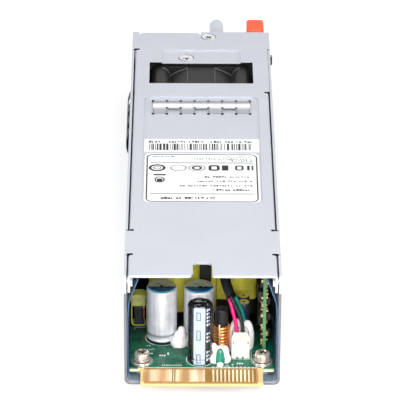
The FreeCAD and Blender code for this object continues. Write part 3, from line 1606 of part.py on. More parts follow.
def make_edge_contacts():
    """The plated power pads and signal fingers on both faces of the tongue."""
    tip = front - S.tongue_reach + S.pad_front_margin
    stop = front + S.pad_rear
    spans = [(S.power_pad_left, S.power_pad_split - S.power_pad_gap / 2),
             (S.power_pad_split + S.power_pad_gap / 2, S.power_pad_right)]
    for i in range(SIZES["finger_count"]):
        middle = S.first_finger_x + S.finger_pitch * i
        spans.append((middle - S.finger_width / 2, middle + S.finger_width / 2))
    pads = []
    for side, low in (("top", board_top), ("bottom", S.board_bottom - S.pad_gauge)):
        for i, (left, right) in enumerate(spans, start=1):
            pads.append(box("contact_%s_%d" % (side, i), (left, tip, low), (right, stop, low + S.pad_gauge)))
    return group("edge_contacts", pads)


def make_standoffs():
    """The threaded standoffs that hold the board off the tray."""
    standoffs = []
    for i, (x, y) in enumerate(board_screw_places(), start=1):
        length = S.board_bottom - gauge
        outer = cylinder("standoff_outer_%d" % i, S.standoff_radius, length, (x, y, gauge))
        inner = cylinder("standoff_thread_%d" % i, S.board_screw_radius + S.screw_clearance, length,
                         (x, y, gauge))
        standoffs.append(cut("standoff_%d" % i, outer, inner))
    return standoffs


def make_board_screws():
    """The board screws with their washers."""
    screws = []
    for i, (x, y) in enumerate(board_screw_places(), start=1):
        screw = new_body("board_screw_%d" % i)
        r, w, t = S.board_screw_head_radius, S.washer_radius, S.washer_gauge
        top = 2 * t + S.board_screw_head_height
        tip = -S.board_gauge - S.board_screw_grip
        ring = r + S.lock_washer_overhang
        revolve(screw, "XZ", (x, y, board_top), "V_Axis", [
            (0, tip), (S.board_screw_radius, tip), (S.board_screw_radius, 0), (w, 0), (w, t), (ring, t),
            (ring, 2 * t), (r, 2 * t), (r, top, 0.9), (0, top)])
        screws.append(screw)
    return group("board_screws", screws)


def make_can(name, x, y, radius, height):
    """An aluminium can capacitor with a rolled groove near its base and a recessed top."""
    body = new_body(name)
    r, bevel = radius, S.can_bevel
    rim, lid = radius - S.can_rim, height - S.can_rim_height
    revolve(body, "XZ", (x, y, board_top), "V_Axis", [
        (0, 0), (r - bevel, 0), (r, bevel), (r, S.can_groove_start),
        (r - S.can_groove_depth, S.can_groove_middle), (r, S.can_groove_stop), (r, height, 0.6),
        (rim, height), (rim, lid), (0, lid)])
    return body


def make_front_parts():
    """Parts that stand on the board near the card edge."""
    y = front + S.output_can_from_front
    cans = [make_can("output_can_left", S.output_can_left_x, y, S.output_can_radius, S.output_can_height),
            make_can("output_can_right", S.output_can_right_x, y, S.output_can_radius,
                     S.output_can_height)]
    small_y = front + S.small_can_from_front
    small = [make_can("small_can_front", S.small_can_x, small_y, S.small_can_radius, S.small_can_height),
             make_can("small_can_rear", S.small_can_x, small_y + S.small_can_pitch, S.small_can_radius,
                      S.small_can_height)]
    filter_can = make_can("filter_capacitor", S.filter_can_x, front + S.filter_can_from_front,
                          S.filter_can_radius, S.filter_can_height)
    return [group("output_capacitors", cans + small), filter_can]


def make_rod_choke():
    """A rod choke: ferrite rod with a sleeved head, and its copper winding."""
    x, y = S.rod_choke_x, front + S.rod_choke_from_front
    core = new_body("rod_choke_core")
    r, head, coil_top = S.rod_choke_core_radius, S.rod_choke_head_radius, S.rod_choke_coil_top
    low = S.rod_choke_coil_foot
    revolve(core, "XZ", (x, y, board_top), "V_Axis", [
        (0, 0), (r, 0), (r, coil_top), (head, coil_top + S.rod_choke_flare),
        (head, S.rod_choke_height, 0.5), (0, S.rod_choke_height)])
    winding = new_body("rod_choke_winding")
    outer, turns = S.rod_choke_radius, SIZES["rod_choke_turns"]
    pitch = (coil_top - 2 * low) / turns
    profile = [(r, low), (outer - S.rod_choke_wire_dip, low)]
    for i in range(turns):
        profile.append((outer, low + pitch * (i + 0.5)))
        profile.append((outer - S.rod_choke_wire_dip, low + pitch * (i + 1)))
    profile.append((r, low + pitch * turns))
    revolve(winding, "XZ", (x, y, board_top), "V_Axis", profile)
    return [core, winding]


HEADER_NOTCHES = (1.6, 3.4)


def make_fan_connector():
    """The header on the board and the plug of the fan lead in it."""
    y = front + S.header_from_front
    left, right, depth = S.header_left, S.header_right, S.header_depth
    wall, top = S.header_wall, board_top + S.header_height
    header = new_body("fan_header")
    pad(header, "XY", board_top, top, rectangle(left, y, right, y + depth, 0.3))
    inside = board_top + S.header_floor
    opening = rectangle(left + wall, y + wall, right - wall, y + depth - wall)
    pocket(header, "XY", inside, top + 1, opening)
    notch_top = board_top + S.header_notch_height
    pocket(header, "XZ", y - 1, y + wall + 0.1,
           *[rectangle(left + notch, board_top - 1, left + notch + S.header_notch_width, notch_top)
             for notch in HEADER_NOTCHES])
    plug = new_body("fan_plug")
    pad(plug, "XY", inside, top, opening)
    inset, side, slope = S.plug_margin, S.plug_side_inset, S.plug_top_inset
    plug_top = top + S.plug_height
    shoulder = top + S.plug_shoulder
    pad(plug, "XZ", y + inset, y + inset + S.plug_depth, [
        (left + side, top), (right - side, top), (right - side, shoulder),
        (right - slope, plug_top, 0.3), (left + slope, plug_top, 0.3), (left + side, shoulder)])
    holes = [(*WIRE_ROUTES[name][0][:2], S.wire_radius + S.wire_hole_gap)
             for name in ("fan_wire_red", "fan_wire_black")]
    pocket(plug, "XY", plug_top - S.wire_hole_depth, plug_top + 1, *holes)
    return [header, plug]


def dab(name, x, y, radius, height):
    """A cone of white fixing compound with a rounded tip."""
    body = new_body(name)
    revolve(body, "XZ", (x, y, board_top), "V_Axis", [
        (0, 0), (radius, 0), (radius * 0.97, height * 0.34, radius * 0.3),
        (radius * 0.34, height, radius * 0.25), (0, height)])
    return body


def make_dabs():
    """Fixing compound between the tall parts, cut to fit around them."""
    can_y = front + S.output_can_from_front
    spare = S.dab_spare
    tall = board_top + 30
    tools = [
        cylinder("dab_tool_left_can", S.output_can_radius + spare, tall, (S.output_can_left_x, can_y, 0)),
        cylinder("dab_tool_right_can", S.output_can_radius + spare, tall,
                 (S.output_can_right_x, can_y, 0)),
        cylinder("dab_tool_filter_can", S.filter_can_radius + spare, tall,
                 (S.filter_can_x, front + S.filter_can_from_front, 0)),
        cylinder("dab_tool_choke", S.rod_choke_radius + spare, tall,
                 (S.rod_choke_x, front + S.rod_choke_from_front, 0)),
        cylinder("dab_tool_bead", S.bead_radius + spare, tall, (S.bead_x, front + S.bead_from_front, 0)),
        box("dab_tool_header", (S.header_left - spare, front + S.header_from_front - spare, 0),
            (S.header_right + spare, front + S.header_from_front + S.header_depth + spare, tall)),
    ]
    remover = fuse("dab_tools", *tools)
    left = dab("dab_left_form", S.left_dab_x, front + S.left_dab_from_front, S.left_dab_radius,
               S.left_dab_height)
    right = dab("dab_right_form", S.right_dab_x, front + S.right_dab_from_front, S.right_dab_radius,
                S.right_dab_height)
    pieces = [cut("dab_left", left, remover), cut("dab_right", right, remover), make_wire_compound()]
    return group("fixing_compound", pieces)


def make_bead_thermistor():
    """A lacquered bead on two leads."""
    body = new_body("bead_thermistor")
    r = S.bead_radius
    height = S.bead_height
    revolve(body, "XZ", (S.bead_x, front + S.bead_from_front, board_top), "V_Axis", [
        (0, 0), (r * 0.6, 0), (r * 0.6, S.bead_foot), (r, S.bead_widest), (r, S.bead_shoulder, 0.5),
        (r * 0.5, height), (0, height)])
    return body


def make_wire_compound():
    """The lump of compound behind the fan connector that carries the third wire."""
    body = new_body("wire_compound")
    y = front + S.header_from_front + S.header_depth
    top = board_top + S.wire_dab_height
    pad(body, "XY", board_top, top,
        rectangle(S.wire_dab_left, y, S.wire_dab_right, y + S.wire_dab_length, 1.2))
    pad(body, "XY", top, top + S.wire_dab_crown,
        rectangle(S.wire_dab_crown_left, y, S.wire_dab_crown_right, y + S.wire_dab_crown_length, 0.9))
    return body


# Parts on the control board: distance from its front edge, height of the middle above the board,
# thickness and size
CONTROL_LEFT_PARTS = [
    (1.2, 6.2, 0.9, 2.1), (1.0, 11.6, 1.4, 3.0), (1.1, 16.4, 0.9, 1.9), (0.9, 20.0, 1.6, 3.6),
    (1.2, 25.0, 0.9, 2.0), (6.6, 8.0, 1.6, 6.0), (6.2, 18.0, 1.7, 5.2), (14.0, 12.0, 1.2, 7.0),
    (22.5, 10.0, 1.2, 8.0)]
CONTROL_RIGHT_PARTS = [
    (1.4, 7.0, 1.3, 2.6), (1.2, 13.2, 1.5, 2.2), (1.5, 18.6, 1.3, 2.4), (9.0, 8.0, 1.4, 5.0),
    (18.0, 12.0, 1.4, 6.0)]
CONTROL_PART_SHARE = 0.8
CONTROL_PART_DROP = 2


def control_chips(name, places, face, way):
    """The small parts on one face of the control board; way is the side they stand out to."""
    start = front + S.control_board_from_front
    chips = []
    for i, (along, up, thick, high) in enumerate(places, start=1):
        low = board_top + up - CONTROL_PART_DROP
        near, far = (face - thick, face) if way < 0 else (face, face + thick)
        chips.append(box("%s_%d" % (name, i), (near, start + along, low),
                         (far, start + along + high * CONTROL_PART_SHARE, low + high)))
    return chips


def make_control_board():
    """The upright control board and the parts soldered to it."""
    x, t = S.control_board_x, S.control_board_gauge
    start = front + S.control_board_from_front
    stop = start + S.control_board_length
    top = board_top + S.control_board_height
    board = new_body("control_board")
    pad(board, "YZ", x, x + t, [
        (start, board_top, 0.6), (stop, board_top, 0.6), (stop, top, 1.2), (start + 2, top),
        (start, top - 2)])
    chips = control_chips("control_chip_left", CONTROL_LEFT_PARTS, x, -1)
    chips += control_chips("control_chip_right", CONTROL_RIGHT_PARTS, x + t, 1)
    return [board, group("control_parts", chips)]


# Power parts under the cover

BOBBIN_PINS = (-15.5, -11.0, -6.5, 5.5, 10.0, 14.5)
BOBBIN_PIN_INSETS = (1.5, 2.5)


def make_transformer():
    """The main transformer: E-shaped core, taped winding and bobbin flanges."""
    left = S.transformer_left
    right = left + S.transformer_width
    start = front + S.transformer_from_front
    stop = start + S.transformer_length
    leg_left = S.core_leg_left
    leg_right = leg_left + S.core_leg_width
    low = board_top + S.transformer_rise
    high = low + S.transformer_height
    hole_start = (start + stop) / 2 - S.core_leg_half_length
    hole_stop = (start + stop) / 2 + S.core_leg_half_length
    winding = new_body("transformer_winding")
    pad(winding, "XY", low, high, rectangle(left, start, right, stop, S.tape_radius))
    pocket(winding, "XY", low - 1, high + 1, rectangle(leg_left, hole_start, leg_right, hole_stop))
    core = new_body("transformer_core")
    pad(core, "YZ", leg_left, leg_right,
        rectangle(start - S.core_end, low - S.core_foot, stop + S.core_end, high + S.core_roof, 0.4))
    pocket(core, "YZ", leg_left - 1, leg_right + 1, rectangle(start, low, hole_start, high),
           rectangle(hole_stop, low, stop, high))
    bobbin = new_body("transformer_bobbin")
    floor = low - S.bobbin_gauge
    pad(bobbin, "XY", floor, low,
        rectangle(left + S.bobbin_inset, start + S.bobbin_end_inset, right - S.bobbin_inset,
                  stop - S.bobbin_end_inset, 1))
    pocket(bobbin, "XY", low - 2, low + 1, rectangle(leg_left, start - 1, leg_right, stop + 1))
    rows = (start + BOBBIN_PIN_INSETS[0], stop - BOBBIN_PIN_INSETS[1])
    feet = [rectangle(x, y, x + S.bobbin_pin, y + S.bobbin_pin) for y in rows for x in BOBBIN_PINS]
    pad(bobbin, "XY", board_top, floor, *feet)
    return [winding, core, bobbin]


def make_insulated_coil():
    """The small coil at the left wall and the yellow film sleeve around it."""
    left = S.film_sleeve_left
    right = left + S.film_sleeve_width
    start = front + S.film_sleeve_from_front
    stop = start + S.film_sleeve_length
    wall = S.film_sleeve_wall
    inner_left, inner_right = left + wall, right - wall
    floor = board_top + wall
    ceiling = board_top + S.film_sleeve_height - wall
    sleeve = new_body("insulation_sleeve")
    pad(sleeve, "XZ", start, stop,
        rectangle(left, board_top, right, ceiling + wall, S.film_sleeve_radius + wall))
    pocket(sleeve, "XZ", start - 1, stop + 1,
           rectangle(inner_left, floor, inner_right, ceiling, S.film_sleeve_radius))
    coil = new_body("sense_coil")
    coil_right = inner_right - S.coil_gap
    coil_left = coil_right - S.coil_width
    coil_top = floor + S.coil_height
    pad(coil, "XZ", start + S.coil_inset, stop - S.coil_inset,
        rectangle(coil_left, floor, coil_right - S.coil_gap, coil_top, S.coil_corner))
    pad(coil, "XZ", start + 2 * S.coil_inset, stop - 2 * S.coil_inset,
        rectangle(coil_left + S.coil_step, coil_top, coil_right - 2 * S.coil_step,
                  coil_top + S.coil_boss_height, S.coil_corner))
    return [sleeve, coil]


def make_power_parts():
    """Capacitor, choke, heat sink and filter parts between the transformer and the fan."""
    pieces = [make_can("bulk_capacitor", S.bulk_x, S.bulk_y, S.bulk_radius, S.bulk_height)]
    pieces += make_boost_choke(S.boost_x, S.boost_y)
    pieces += [make_heat_sink(S.sink_x, S.sink_y), make_power_semiconductors(S.sink_x)]
    pieces += make_common_mode_choke(S.ring_x, S.ring_y)
    pieces += [make_filter_block(), make_fuse(S.fuse_x, S.fuse_y)]
    return pieces


HEAT_SINK_FINS = 5
HEAT_SINK_PINS = (5, 34)


def make_heat_sink(x, y):
    """The extruded heat sink on its two solder pins."""
    body = new_body("heat_sink")
    low = board_top + S.sink_rise
    pad(body, "XY", low, S.sink_top, sink_outline(x, y, S.sink_length))
    pad(body, "XY", board_top, low, *[(x + S.sink_web / 2, y + pin, S.sink_pin_radius)
                                      for pin in HEAT_SINK_PINS])
    return body


def sink_outline(x, y, length):
    """Comb-shaped section of the extruded heat sink."""
    pitch = (length - S.sink_fin) / (HEAT_SINK_FINS - 1)
    tip = x + S.sink_reach
    outline = [(x, y + length), (x, y), (tip, y)]
    for i in range(HEAT_SINK_FINS):
        base = y + pitch * i
        if i:
            outline.append((tip, base))
        outline.append((tip, base + S.sink_fin))
        if i < HEAT_SINK_FINS - 1:
            outline.append((x + S.sink_web, base + S.sink_fin))
            outline.append((x + S.sink_web, base + pitch))
    return outline


def make_boost_choke(x, y):
    """A pot-type choke: two core plates with a centre post, and a round winding."""
    wide, deep = S.boost_half_width, S.boost_half_length
    low = board_top + S.boost_rise
    window_low = low + S.boost_plate
    window_high = window_low + S.boost_window
    plate = rectangle(x - wide, y - deep, x + wide, y + deep, 1)
    core = new_body("boost_choke_core")
    pad(core, "XY", low, window_low, plate)
    pad(core, "XY", window_low, window_high, (x, y, S.boost_post_radius),
        rectangle(x - wide, y - deep, x - wide + S.boost_side, y + deep),
        rectangle(x + wide - S.boost_side, y - deep, x + wide, y + deep))
    pad(core, "XY", window_high, window_high + S.boost_plate, plate)
    pad(core, "XY", board_top, low, (x - S.boost_pin_offset, y, S.boost_pin_radius),
        (x + S.boost_pin_offset, y, S.boost_pin_radius))
    winding = new_body("boost_choke_winding")
    pad(winding, "XY", window_low, window_high, (x, y, S.boost_coil_radius))
    pocket(winding, "XY", window_low - 1, window_high + 1, (x, y, S.boost_post_radius))
    return [core, winding]


def make_power_transistor(number, face):
    """One flat transistor with its metal tab against the heat sink."""
    y = S.device_first_y + S.device_pitch * (number - 1)
    low = board_top + S.device_rise
    tab_face = face - S.device_tab
    lead_face = face - S.device_lead_face
    tab = box("device_tab_%d" % number, (tab_face, y, low),
              (face, y + S.device_width, low + S.device_height))
    case = box("device_case_%d" % number, (face - S.device_gauge, y, low),
               (tab_face, y + S.device_width, low + S.device_case_height))
    leads = []
    for k in range(3):
        start = y + S.device_lead_inset + S.device_lead_pitch * k
        leads.append(box("device_lead_%d_%d" % (number, k), (lead_face, start, board_top),
                         (lead_face + S.device_lead_gauge, start + S.device_lead_width, low)))
    return fuse("device_%d" % number, tab, case, *leads)


def make_power_semiconductors(face):
    """Two power transistors and the bridge rectifier on the heat sink."""
    low = board_top + S.bridge_rise
    case = box("bridge_case", (face - S.bridge_gauge, S.bridge_y, low),
               (face, S.bridge_y + S.bridge_width, low + S.bridge_height))
    leads = []
    for k in range(4):
        start = S.bridge_y + 1 + S.bridge_lead_pitch * k
        leads.append(box("bridge_lead_%d" % k, (face - S.bridge_lead_face, start, board_top),
                         (face - S.bridge_lead_face + S.bridge_lead_gauge, start + 1, low)))
    devices = [make_power_transistor(1, face), make_power_transistor(2, face), fuse("bridge", case, *leads)]
    return group("power_semiconductors", devices)


RING_COIL_STARTS = (-65, 115)
RING_COIL_SWEEP = 130


def make_common_mode_choke(x, y):
    """A ring core that stands upright on its two windings' leads."""
    z = board_top + S.ring_rise
    start = y - S.ring_half_length
    core = new_body("common_mode_core")
    pad(core, "XZ", start, y + S.ring_half_length, (x, z, S.ring_radius), (x, z, S.ring_bore))
    pieces = []
    for i, angle in enumerate(RING_COIL_STARTS, start=1):
        coil = doc.addObject("Part::Torus", "common_mode_coil_%d" % i)
        bind(coil, "Radius1", S.ring_coil_middle)
        bind(coil, "Radius2", S.ring_coil_radius)
        coil.Angle3 = RING_COIL_SWEEP
        spin_start = FreeCAD.Rotation(FreeCAD.Vector(0, 0, 1), angle)
        upright = FreeCAD.Rotation(FreeCAD.Vector(1, 0, 0), -90)
        coil.Placement = FreeCAD.Placement(FreeCAD.Vector(0, 0, 0), upright * spin_start)
        bind_place(coil, (x, y, z))
        length = 2 * S.ring_half_length
        ring = cut("common_mode_ring_%d" % i,
                   cylinder("ring_out_%d" % i, S.ring_radius, length, (x, start, z), "+y"),
                   cylinder("ring_in_%d" % i, S.ring_bore, length, (x, start, z), "+y"))
        pieces.append(cut("common_mode_turns_%d" % i, coil, ring))
    return [core, group("common_mode_windings", pieces)]


def make_filter_block():
    """The film capacitor of the mains filter, a rounded block."""
    body = new_body("x_capacitor")
    pad(body, "XY", board_top, board_top + S.filter_block_height,
        rectangle(S.filter_block_left, S.filter_block_start, S.filter_block_right, S.filter_block_stop,
                  S.filter_block_radius))
    return body


def make_fuse(x, y):
    """The line fuse: a glass tube between two clips."""
    body = new_body("line_fuse")
    z = board_top + S.fuse_rise
    half_length, inner, outer = S.fuse_half_length, S.fuse_clip_start, S.fuse_clip_stop
    foot = rectangle(y - S.fuse_clip_half_width, board_top, y + S.fuse_clip_half_width, z)
    pad(body, "YZ", x - half_length, x + half_length, (y, z, S.fuse_radius))
    pad(body, "YZ", x - outer, x - inner, (y, z, S.fuse_clip_radius), foot)
    pad(body, "YZ", x + inner, x + outer, (y, z, S.fuse_clip_radius), foot)
    return body


def make_all():
    """Every piece of the module, one document object per node."""
    nodes = [make_base_tray(), make_top_cover(), make_rear_panel()]
    nodes += make_casing_screws()
    nodes += make_labels()
    nodes += [make_contact_strips(), make_insulation_film(), make_inlet(), make_inlet_pins()]
    nodes += make_handle()
    nodes.append(make_status_light())
    nodes += make_latch()
    nodes += [make_fan_frame(), make_fan_rotor()]
    nodes += make_fan_motor()
    nodes += make_fan_mounting()
    nodes += make_fan_leads()
    nodes += [make_main_board(), make_edge_contacts()]
    nodes.append(make_board_screws())
    nodes += make_front_parts()
    nodes += make_rod_choke()
    nodes += make_fan_connector()
    nodes += [make_dabs(), make_bead_thermistor()]
    nodes += make_control_board()
    nodes += make_transformer()
    nodes += make_insulated_coil()
    nodes += make_power_parts()
    return nodes


def check_document():
    """Stop where any object failed to build."""
    doc.recompute()
    failed = [item.Name for item in doc.Objects if {"Invalid", "Error"} & set(item.State)]
    if failed:
        raise RuntimeError("failed objects: " + ", ".join(failed))


def write_parts(nodes):
    """Check each node's solids and write its file."""
    os.makedirs("parts", exist_ok=True)
    for item in nodes:
        solid = item.Shape
        if solid.isNull() or not solid.isValid() or not solid.Solids:
            raise RuntimeError(item.Label + " has no valid solid")
    for item in nodes:
        item.Shape.exportStep(os.path.join("parts", item.Label + ".step"))


all_nodes = make_all()
check_document()
write_parts(all_nodes)
print(len(all_nodes), "nodes written")
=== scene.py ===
import math
import random

import bmesh
import bpy
from mathutils import Matrix, Vector


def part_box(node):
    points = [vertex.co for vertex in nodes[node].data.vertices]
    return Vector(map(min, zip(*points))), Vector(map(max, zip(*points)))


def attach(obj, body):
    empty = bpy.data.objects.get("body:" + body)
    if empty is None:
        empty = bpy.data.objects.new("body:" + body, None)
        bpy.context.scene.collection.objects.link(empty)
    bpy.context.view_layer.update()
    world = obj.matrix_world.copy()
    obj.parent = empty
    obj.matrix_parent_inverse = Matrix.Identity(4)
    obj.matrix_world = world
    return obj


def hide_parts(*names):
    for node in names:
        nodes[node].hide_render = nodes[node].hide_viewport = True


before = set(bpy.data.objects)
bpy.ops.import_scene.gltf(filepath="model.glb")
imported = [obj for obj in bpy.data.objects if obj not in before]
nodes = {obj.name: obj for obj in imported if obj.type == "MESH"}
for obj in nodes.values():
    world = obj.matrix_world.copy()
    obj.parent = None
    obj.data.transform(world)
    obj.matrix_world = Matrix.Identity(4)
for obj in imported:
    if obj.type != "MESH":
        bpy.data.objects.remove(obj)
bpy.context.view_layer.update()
mm = 0.001
chance = random.Random(7)
print("frame loaded:", len(nodes), "nodes")


# Node expressions

def mathNode(operation, swapped=False):
    # an operator that adds a Math node; a reflected form swaps its sides
    def operate(self, other=0):
        first, second = (other, self) if swapped else (self, other)
        return self.network.math(operation, first, second)
    return operate


class Signal:
    # one output of a node tree, for use in expressions
    def __init__(self, network, socket):
        self.network = network
        self.socket = socket

    __add__, __radd__ = mathNode("ADD"), mathNode("ADD", True)
    __sub__, __rsub__ = mathNode("SUBTRACT"), mathNode("SUBTRACT", True)
    __mul__, __rmul__ = mathNode("MULTIPLY"), mathNode("MULTIPLY", True)
    __gt__, __lt__, __abs__ = mathNode("GREATER_THAN"), mathNode("LESS_THAN"), mathNode("ABSOLUTE")


class Network:
    # the node tree of a material or a world
    def __init__(self, owner, output):
        owner.use_nodes = True
        self.tree = owner.node_tree
        self.surface = self.tree.nodes[output].inputs["Surface"]

    def plug(self, socket, value):
        if isinstance(value, Signal):
            self.tree.links.new(value.socket, socket)
        else:
            socket.default_value = value

    def node(self, kind, settings, sockets, output=0):
        made = self.tree.nodes.new("ShaderNode" + kind)
        for name, value in settings.items():
            setattr(made, name, value)
        for label, value in sockets.items():
            self.plug(made.inputs[label], value)
        return Signal(self, made.outputs[output])

    def math(self, operation, first, second=0):
        return self.node("Math", {"operation": operation}, {0: first, 1: second})

    def seenDirectly(self):
        # 1 for what the camera, a gloss or a clear material looks at
        total = 0
        for ray in ("Is Camera Ray", "Is Glossy Ray", "Is Transmission Ray"):
            total = self.math("MAXIMUM", total, self.node("LightPath", {}, {}, ray))
        return total

    def blend(self, factor, first, second):
        # the tree's surface goes from the first shader to the second
        self.plug(self.surface, self.node("MixShader", {}, {0: factor, 1: first, 2: second}))


def paint(color, share=1.0):
    # screen colour, 0 to 255, as the linear colour that the shader takes
    parts = [c * share / 255 for c in color]
    linear = [c / 12.92 if c < 0.04045 else ((c + 0.055) / 1.055) ** 2.4 for c in parts]
    return (*linear, 1.0)


socketNames = {"metallic": "Metallic", "alpha": "Alpha", "coat": "Coat Weight",
               "coatRoughness": "Coat Roughness", "subsurface": "Subsurface Weight",
               "specular": "Specular IOR Level"}


class Finish(Network):
    # a principled material whose varying inputs come from node expressions
    def __init__(self, name, color, roughness, **constants):
        self.material = bpy.data.materials.new(name)
        super().__init__(self.material, "Material Output")
        self.shader = self.tree.nodes["Principled BSDF"]
        self.color = paint(color)
        self.feed("Base Color", self.color)
        self.feed("Roughness", roughness)
        for key, value in constants.items():
            self.feed(socketNames[key], value)

    def feed(self, label, value):
        self.plug(self.shader.inputs[label], value)

    def shade(self, share):
        return tuple(c * share for c in self.color[:3]) + (1.0,)

    def mix(self, factor, first, second):
        return self.node("Mix", {"data_type": "RGBA"}, {0: factor, 6: first, 7: second}, 2)

    def over(self, body, *layers):
        # lays colours over a colour, each where its mask is 1
        for mask, color in layers:
            body = self.mix(mask, body, color)
        return body

    def parts(self, vector, names):
        return [self.node("SeparateXYZ", {}, {0: vector}, name) for name in names]

    def place(self):
        # position in the row frame, in millimetres
        spot = self.node("TexCoord", {}, {}, "Object")
        return self.node("VectorMath", {"operation": "SCALE"}, {0: spot, "Scale": 1 / mm})

    def axes(self, names="XYZ"):
        return self.parts(self.place(), names)

    def facing(self, names="XYZ"):
        # parts of the true normal
        return self.parts(self.node("NewGeometry", {}, {}, "True Normal"), names)

    def noise(self, size, detail=2.0, stretch=(1, 1, 1), shift=0.0):
        # cloud noise with features of a size, stretched along the axes
        factors = [1 / (size * s) for s in stretch]
        spot = self.node("VectorMath", {"operation": "MULTIPLY"}, {0: self.place(), 1: factors})
        moved = self.node("VectorMath", {"operation": "ADD"}, {0: spot, 1: [shift] * 3})
        return self.node("TexNoise", {}, {"Vector": moved, "Scale": 1.0, "Detail": detail})

    def fade(self, value, low=0.3, high=0.7, start=0.0, stop=1.0):
        # a value's run from low to high, turned into a run from start to stop
        return self.node("MapRange", {"interpolation_type": "SMOOTHSTEP"},
                         {"Value": value, "From Min": low, "From Max": high, "To Min": start,
                          "To Max": stop})

    def band(self, value, low, high):
        return (value > low) * (value < high)

    def vary(self, value, dark, light, *limits):
        # the finish's own colour, between two shares of it
        return self.mix(self.fade(value, *limits), self.shade(dark), self.shade(light))

    def polish(self, value, start, stop, low=0.3, high=0.7):
        # roughness that follows a value
        self.feed("Roughness", self.fade(value, low, high, start, stop))

    def highlitEdges(self, radius, stop=0.45):
        # 1 on sharp edges, 0 on flat faces: where a painted edge highlight goes
        normal = self.node("NewGeometry", {}, {}, "Normal")
        edge = self.node("Bevel", {"samples": 4}, {"Radius": radius * mm})
        likeness = self.node("VectorMath", {"operation": "DOT_PRODUCT"}, {0: edge, 1: normal}, "Value")
        return self.fade(1 - likeness, 0.05, stop)

    def done(self, body, radius, height, depth):
        # the colour, edges that the light sees as rounded, and a fine relief on top
        self.feed("Base Color", body)
        edge = self.node("Bevel", {"samples": 4}, {"Radius": radius * mm})
        relief = {"Height": height, "Distance": depth * mm, "Normal": edge}
        self.feed("Normal", self.node("Bump", {}, relief))
        return self.material


# Metal finishes

sheetMetal = {
    "color": (198, 201, 210), "metallic": 0.3, "roughness": 0.42, "edgeRadius": 0.17, "relief": 0.008,
    "grainWidth": 0.2, "grainLength": 9.0, "cloudSize": 14.0, "speckSize": 0.12,
    "cutEdgeHighlight": (236, 239, 244), "depth": (7, 7, 8), "seam": (168, 171, 178),
    "slope": 0.62, "rim": 0.6, "flank": 0.74,  # shares of the colour
    "coverFrom": 33.0, "top": 39.97,  # heights of the cover's cut sides
    "strip": (24.0, 36.2), "stripHalf": 18.0, "stripTop": 39.42, "window": (48.6, 66.6), "windowHalf": 18.8,
    "notches": (-77.7, -62.5, 42.1, 78.1), "notchReach": 1.7, "notchSpan": (22.0, 24.3), "notchFrom": 26.0,
    "folds": (22.0, 24.15), "foldsFrom": -90.0, "slopeLevels": (39.15, 39.985), "slopeFrom": -92.0,
    "rimTo": -92.3, "rimTop": 33.5, "flankFrom": 24.9, "grainTop": 39.0,
}


def zincSheet(name, share=1.0):
    # rolled zinc-coated sheet: fine grain along the module, faint clouds, a painted highlight on cut edges,
    # and painted shade in holes, on slopes and in the side seams
    s = sheetMetal
    # share darkens the whole sheet, as painted shade for sheet that lies deep inside the casing
    color = [c * share for c in s["color"]]
    finish = Finish(name, color, s["roughness"], metallic=s["metallic"])
    grain = finish.noise(s["grainWidth"], stretch=(1, s["grainLength"] / s["grainWidth"], 1))
    cloud = finish.noise(s["cloudSize"], 3.0)
    speck = finish.noise(s["speckSize"], shift=11.0)
    # painted highlight on sharp and cut edges
    edge = finish.highlitEdges(s["edgeRadius"], 0.4)
    x, y, z = finish.axes()
    side, front, up = finish.facing()
    aside, upright = abs(x), (abs(up) < 0.5) * (z < s["top"])
    # painted shade: the sides of the strip's holes, of the window and of the notches in the side folds are
    # painted near black
    holes = finish.band(y, *s["strip"]) * (aside < s["stripHalf"]) * (z < s["stripTop"])
    holes = holes + finish.band(y, *s["window"]) * (aside < s["windowHalf"])
    near = 0
    for spot in s["notches"]:
        near = finish.math("MAXIMUM", near, abs(y - spot) < s["notchReach"])
    notch = near * finish.band(aside, *s["notchSpan"]) * (z > s["notchFrom"])
    holeShade = (holes * (z > s["coverFrom"]) + notch > 0.5) * upright
    # painted shade: the upright walls of the side folds, in the seam between cover and tray, are painted
    # darker
    seam = finish.band(aside, *s["folds"]) * (y > s["foldsFrom"]) * (z > s["coverFrom"]) * upright
    # painted shade: slopes that face the card edge end are painted a little darker than the flats
    slope = (front < -0.2) * finish.band(z, *s["slopeLevels"]) * (y > s["slopeFrom"])
    # the tray's cut front edge, and its outer sides, which turn from the light
    rim = (front < -0.5) * (y < s["rimTo"]) * (z < s["rimTop"])
    flank = (abs(side) > 0.9) * (aside > s["flankFrom"])
    body = finish.over(finish.vary(grain * 0.5 + cloud * 0.5, 0.975, 1.02, 0.35, 0.65),
                       (edge * 0.5, paint(s["cutEdgeHighlight"])), (slope * 0.5, paint(color, s["slope"])),
                       (seam, paint(s["seam"])), (rim, paint(color, s["rim"])),
                       (flank, paint(color, s["flank"])), (holeShade, paint(s["depth"])))
    finish.feed("Roughness", finish.fade(cloud + grain * 0.3, 0.3, 1.0, 0.36, 0.47) - edge * 0.08)
    # no grain on the pressed slopes, so that they catch the light in one clean line
    flat = 1 - (up < 0.98) * (z > s["grainTop"])
    return finish.done(body, s["edgeRadius"], (grain * 0.6 + speck * 0.4) * flat, s["relief"])


steelLook = {"bloomSize": 1.6, "edgeRadius": 0.1, "hair": (0.35, 0.0021), "headHair": (0.8, 0.00012),
             "latch": (188, 190, 194), "latchMetallic": 0.6, "latchDarkTo": 84.0}


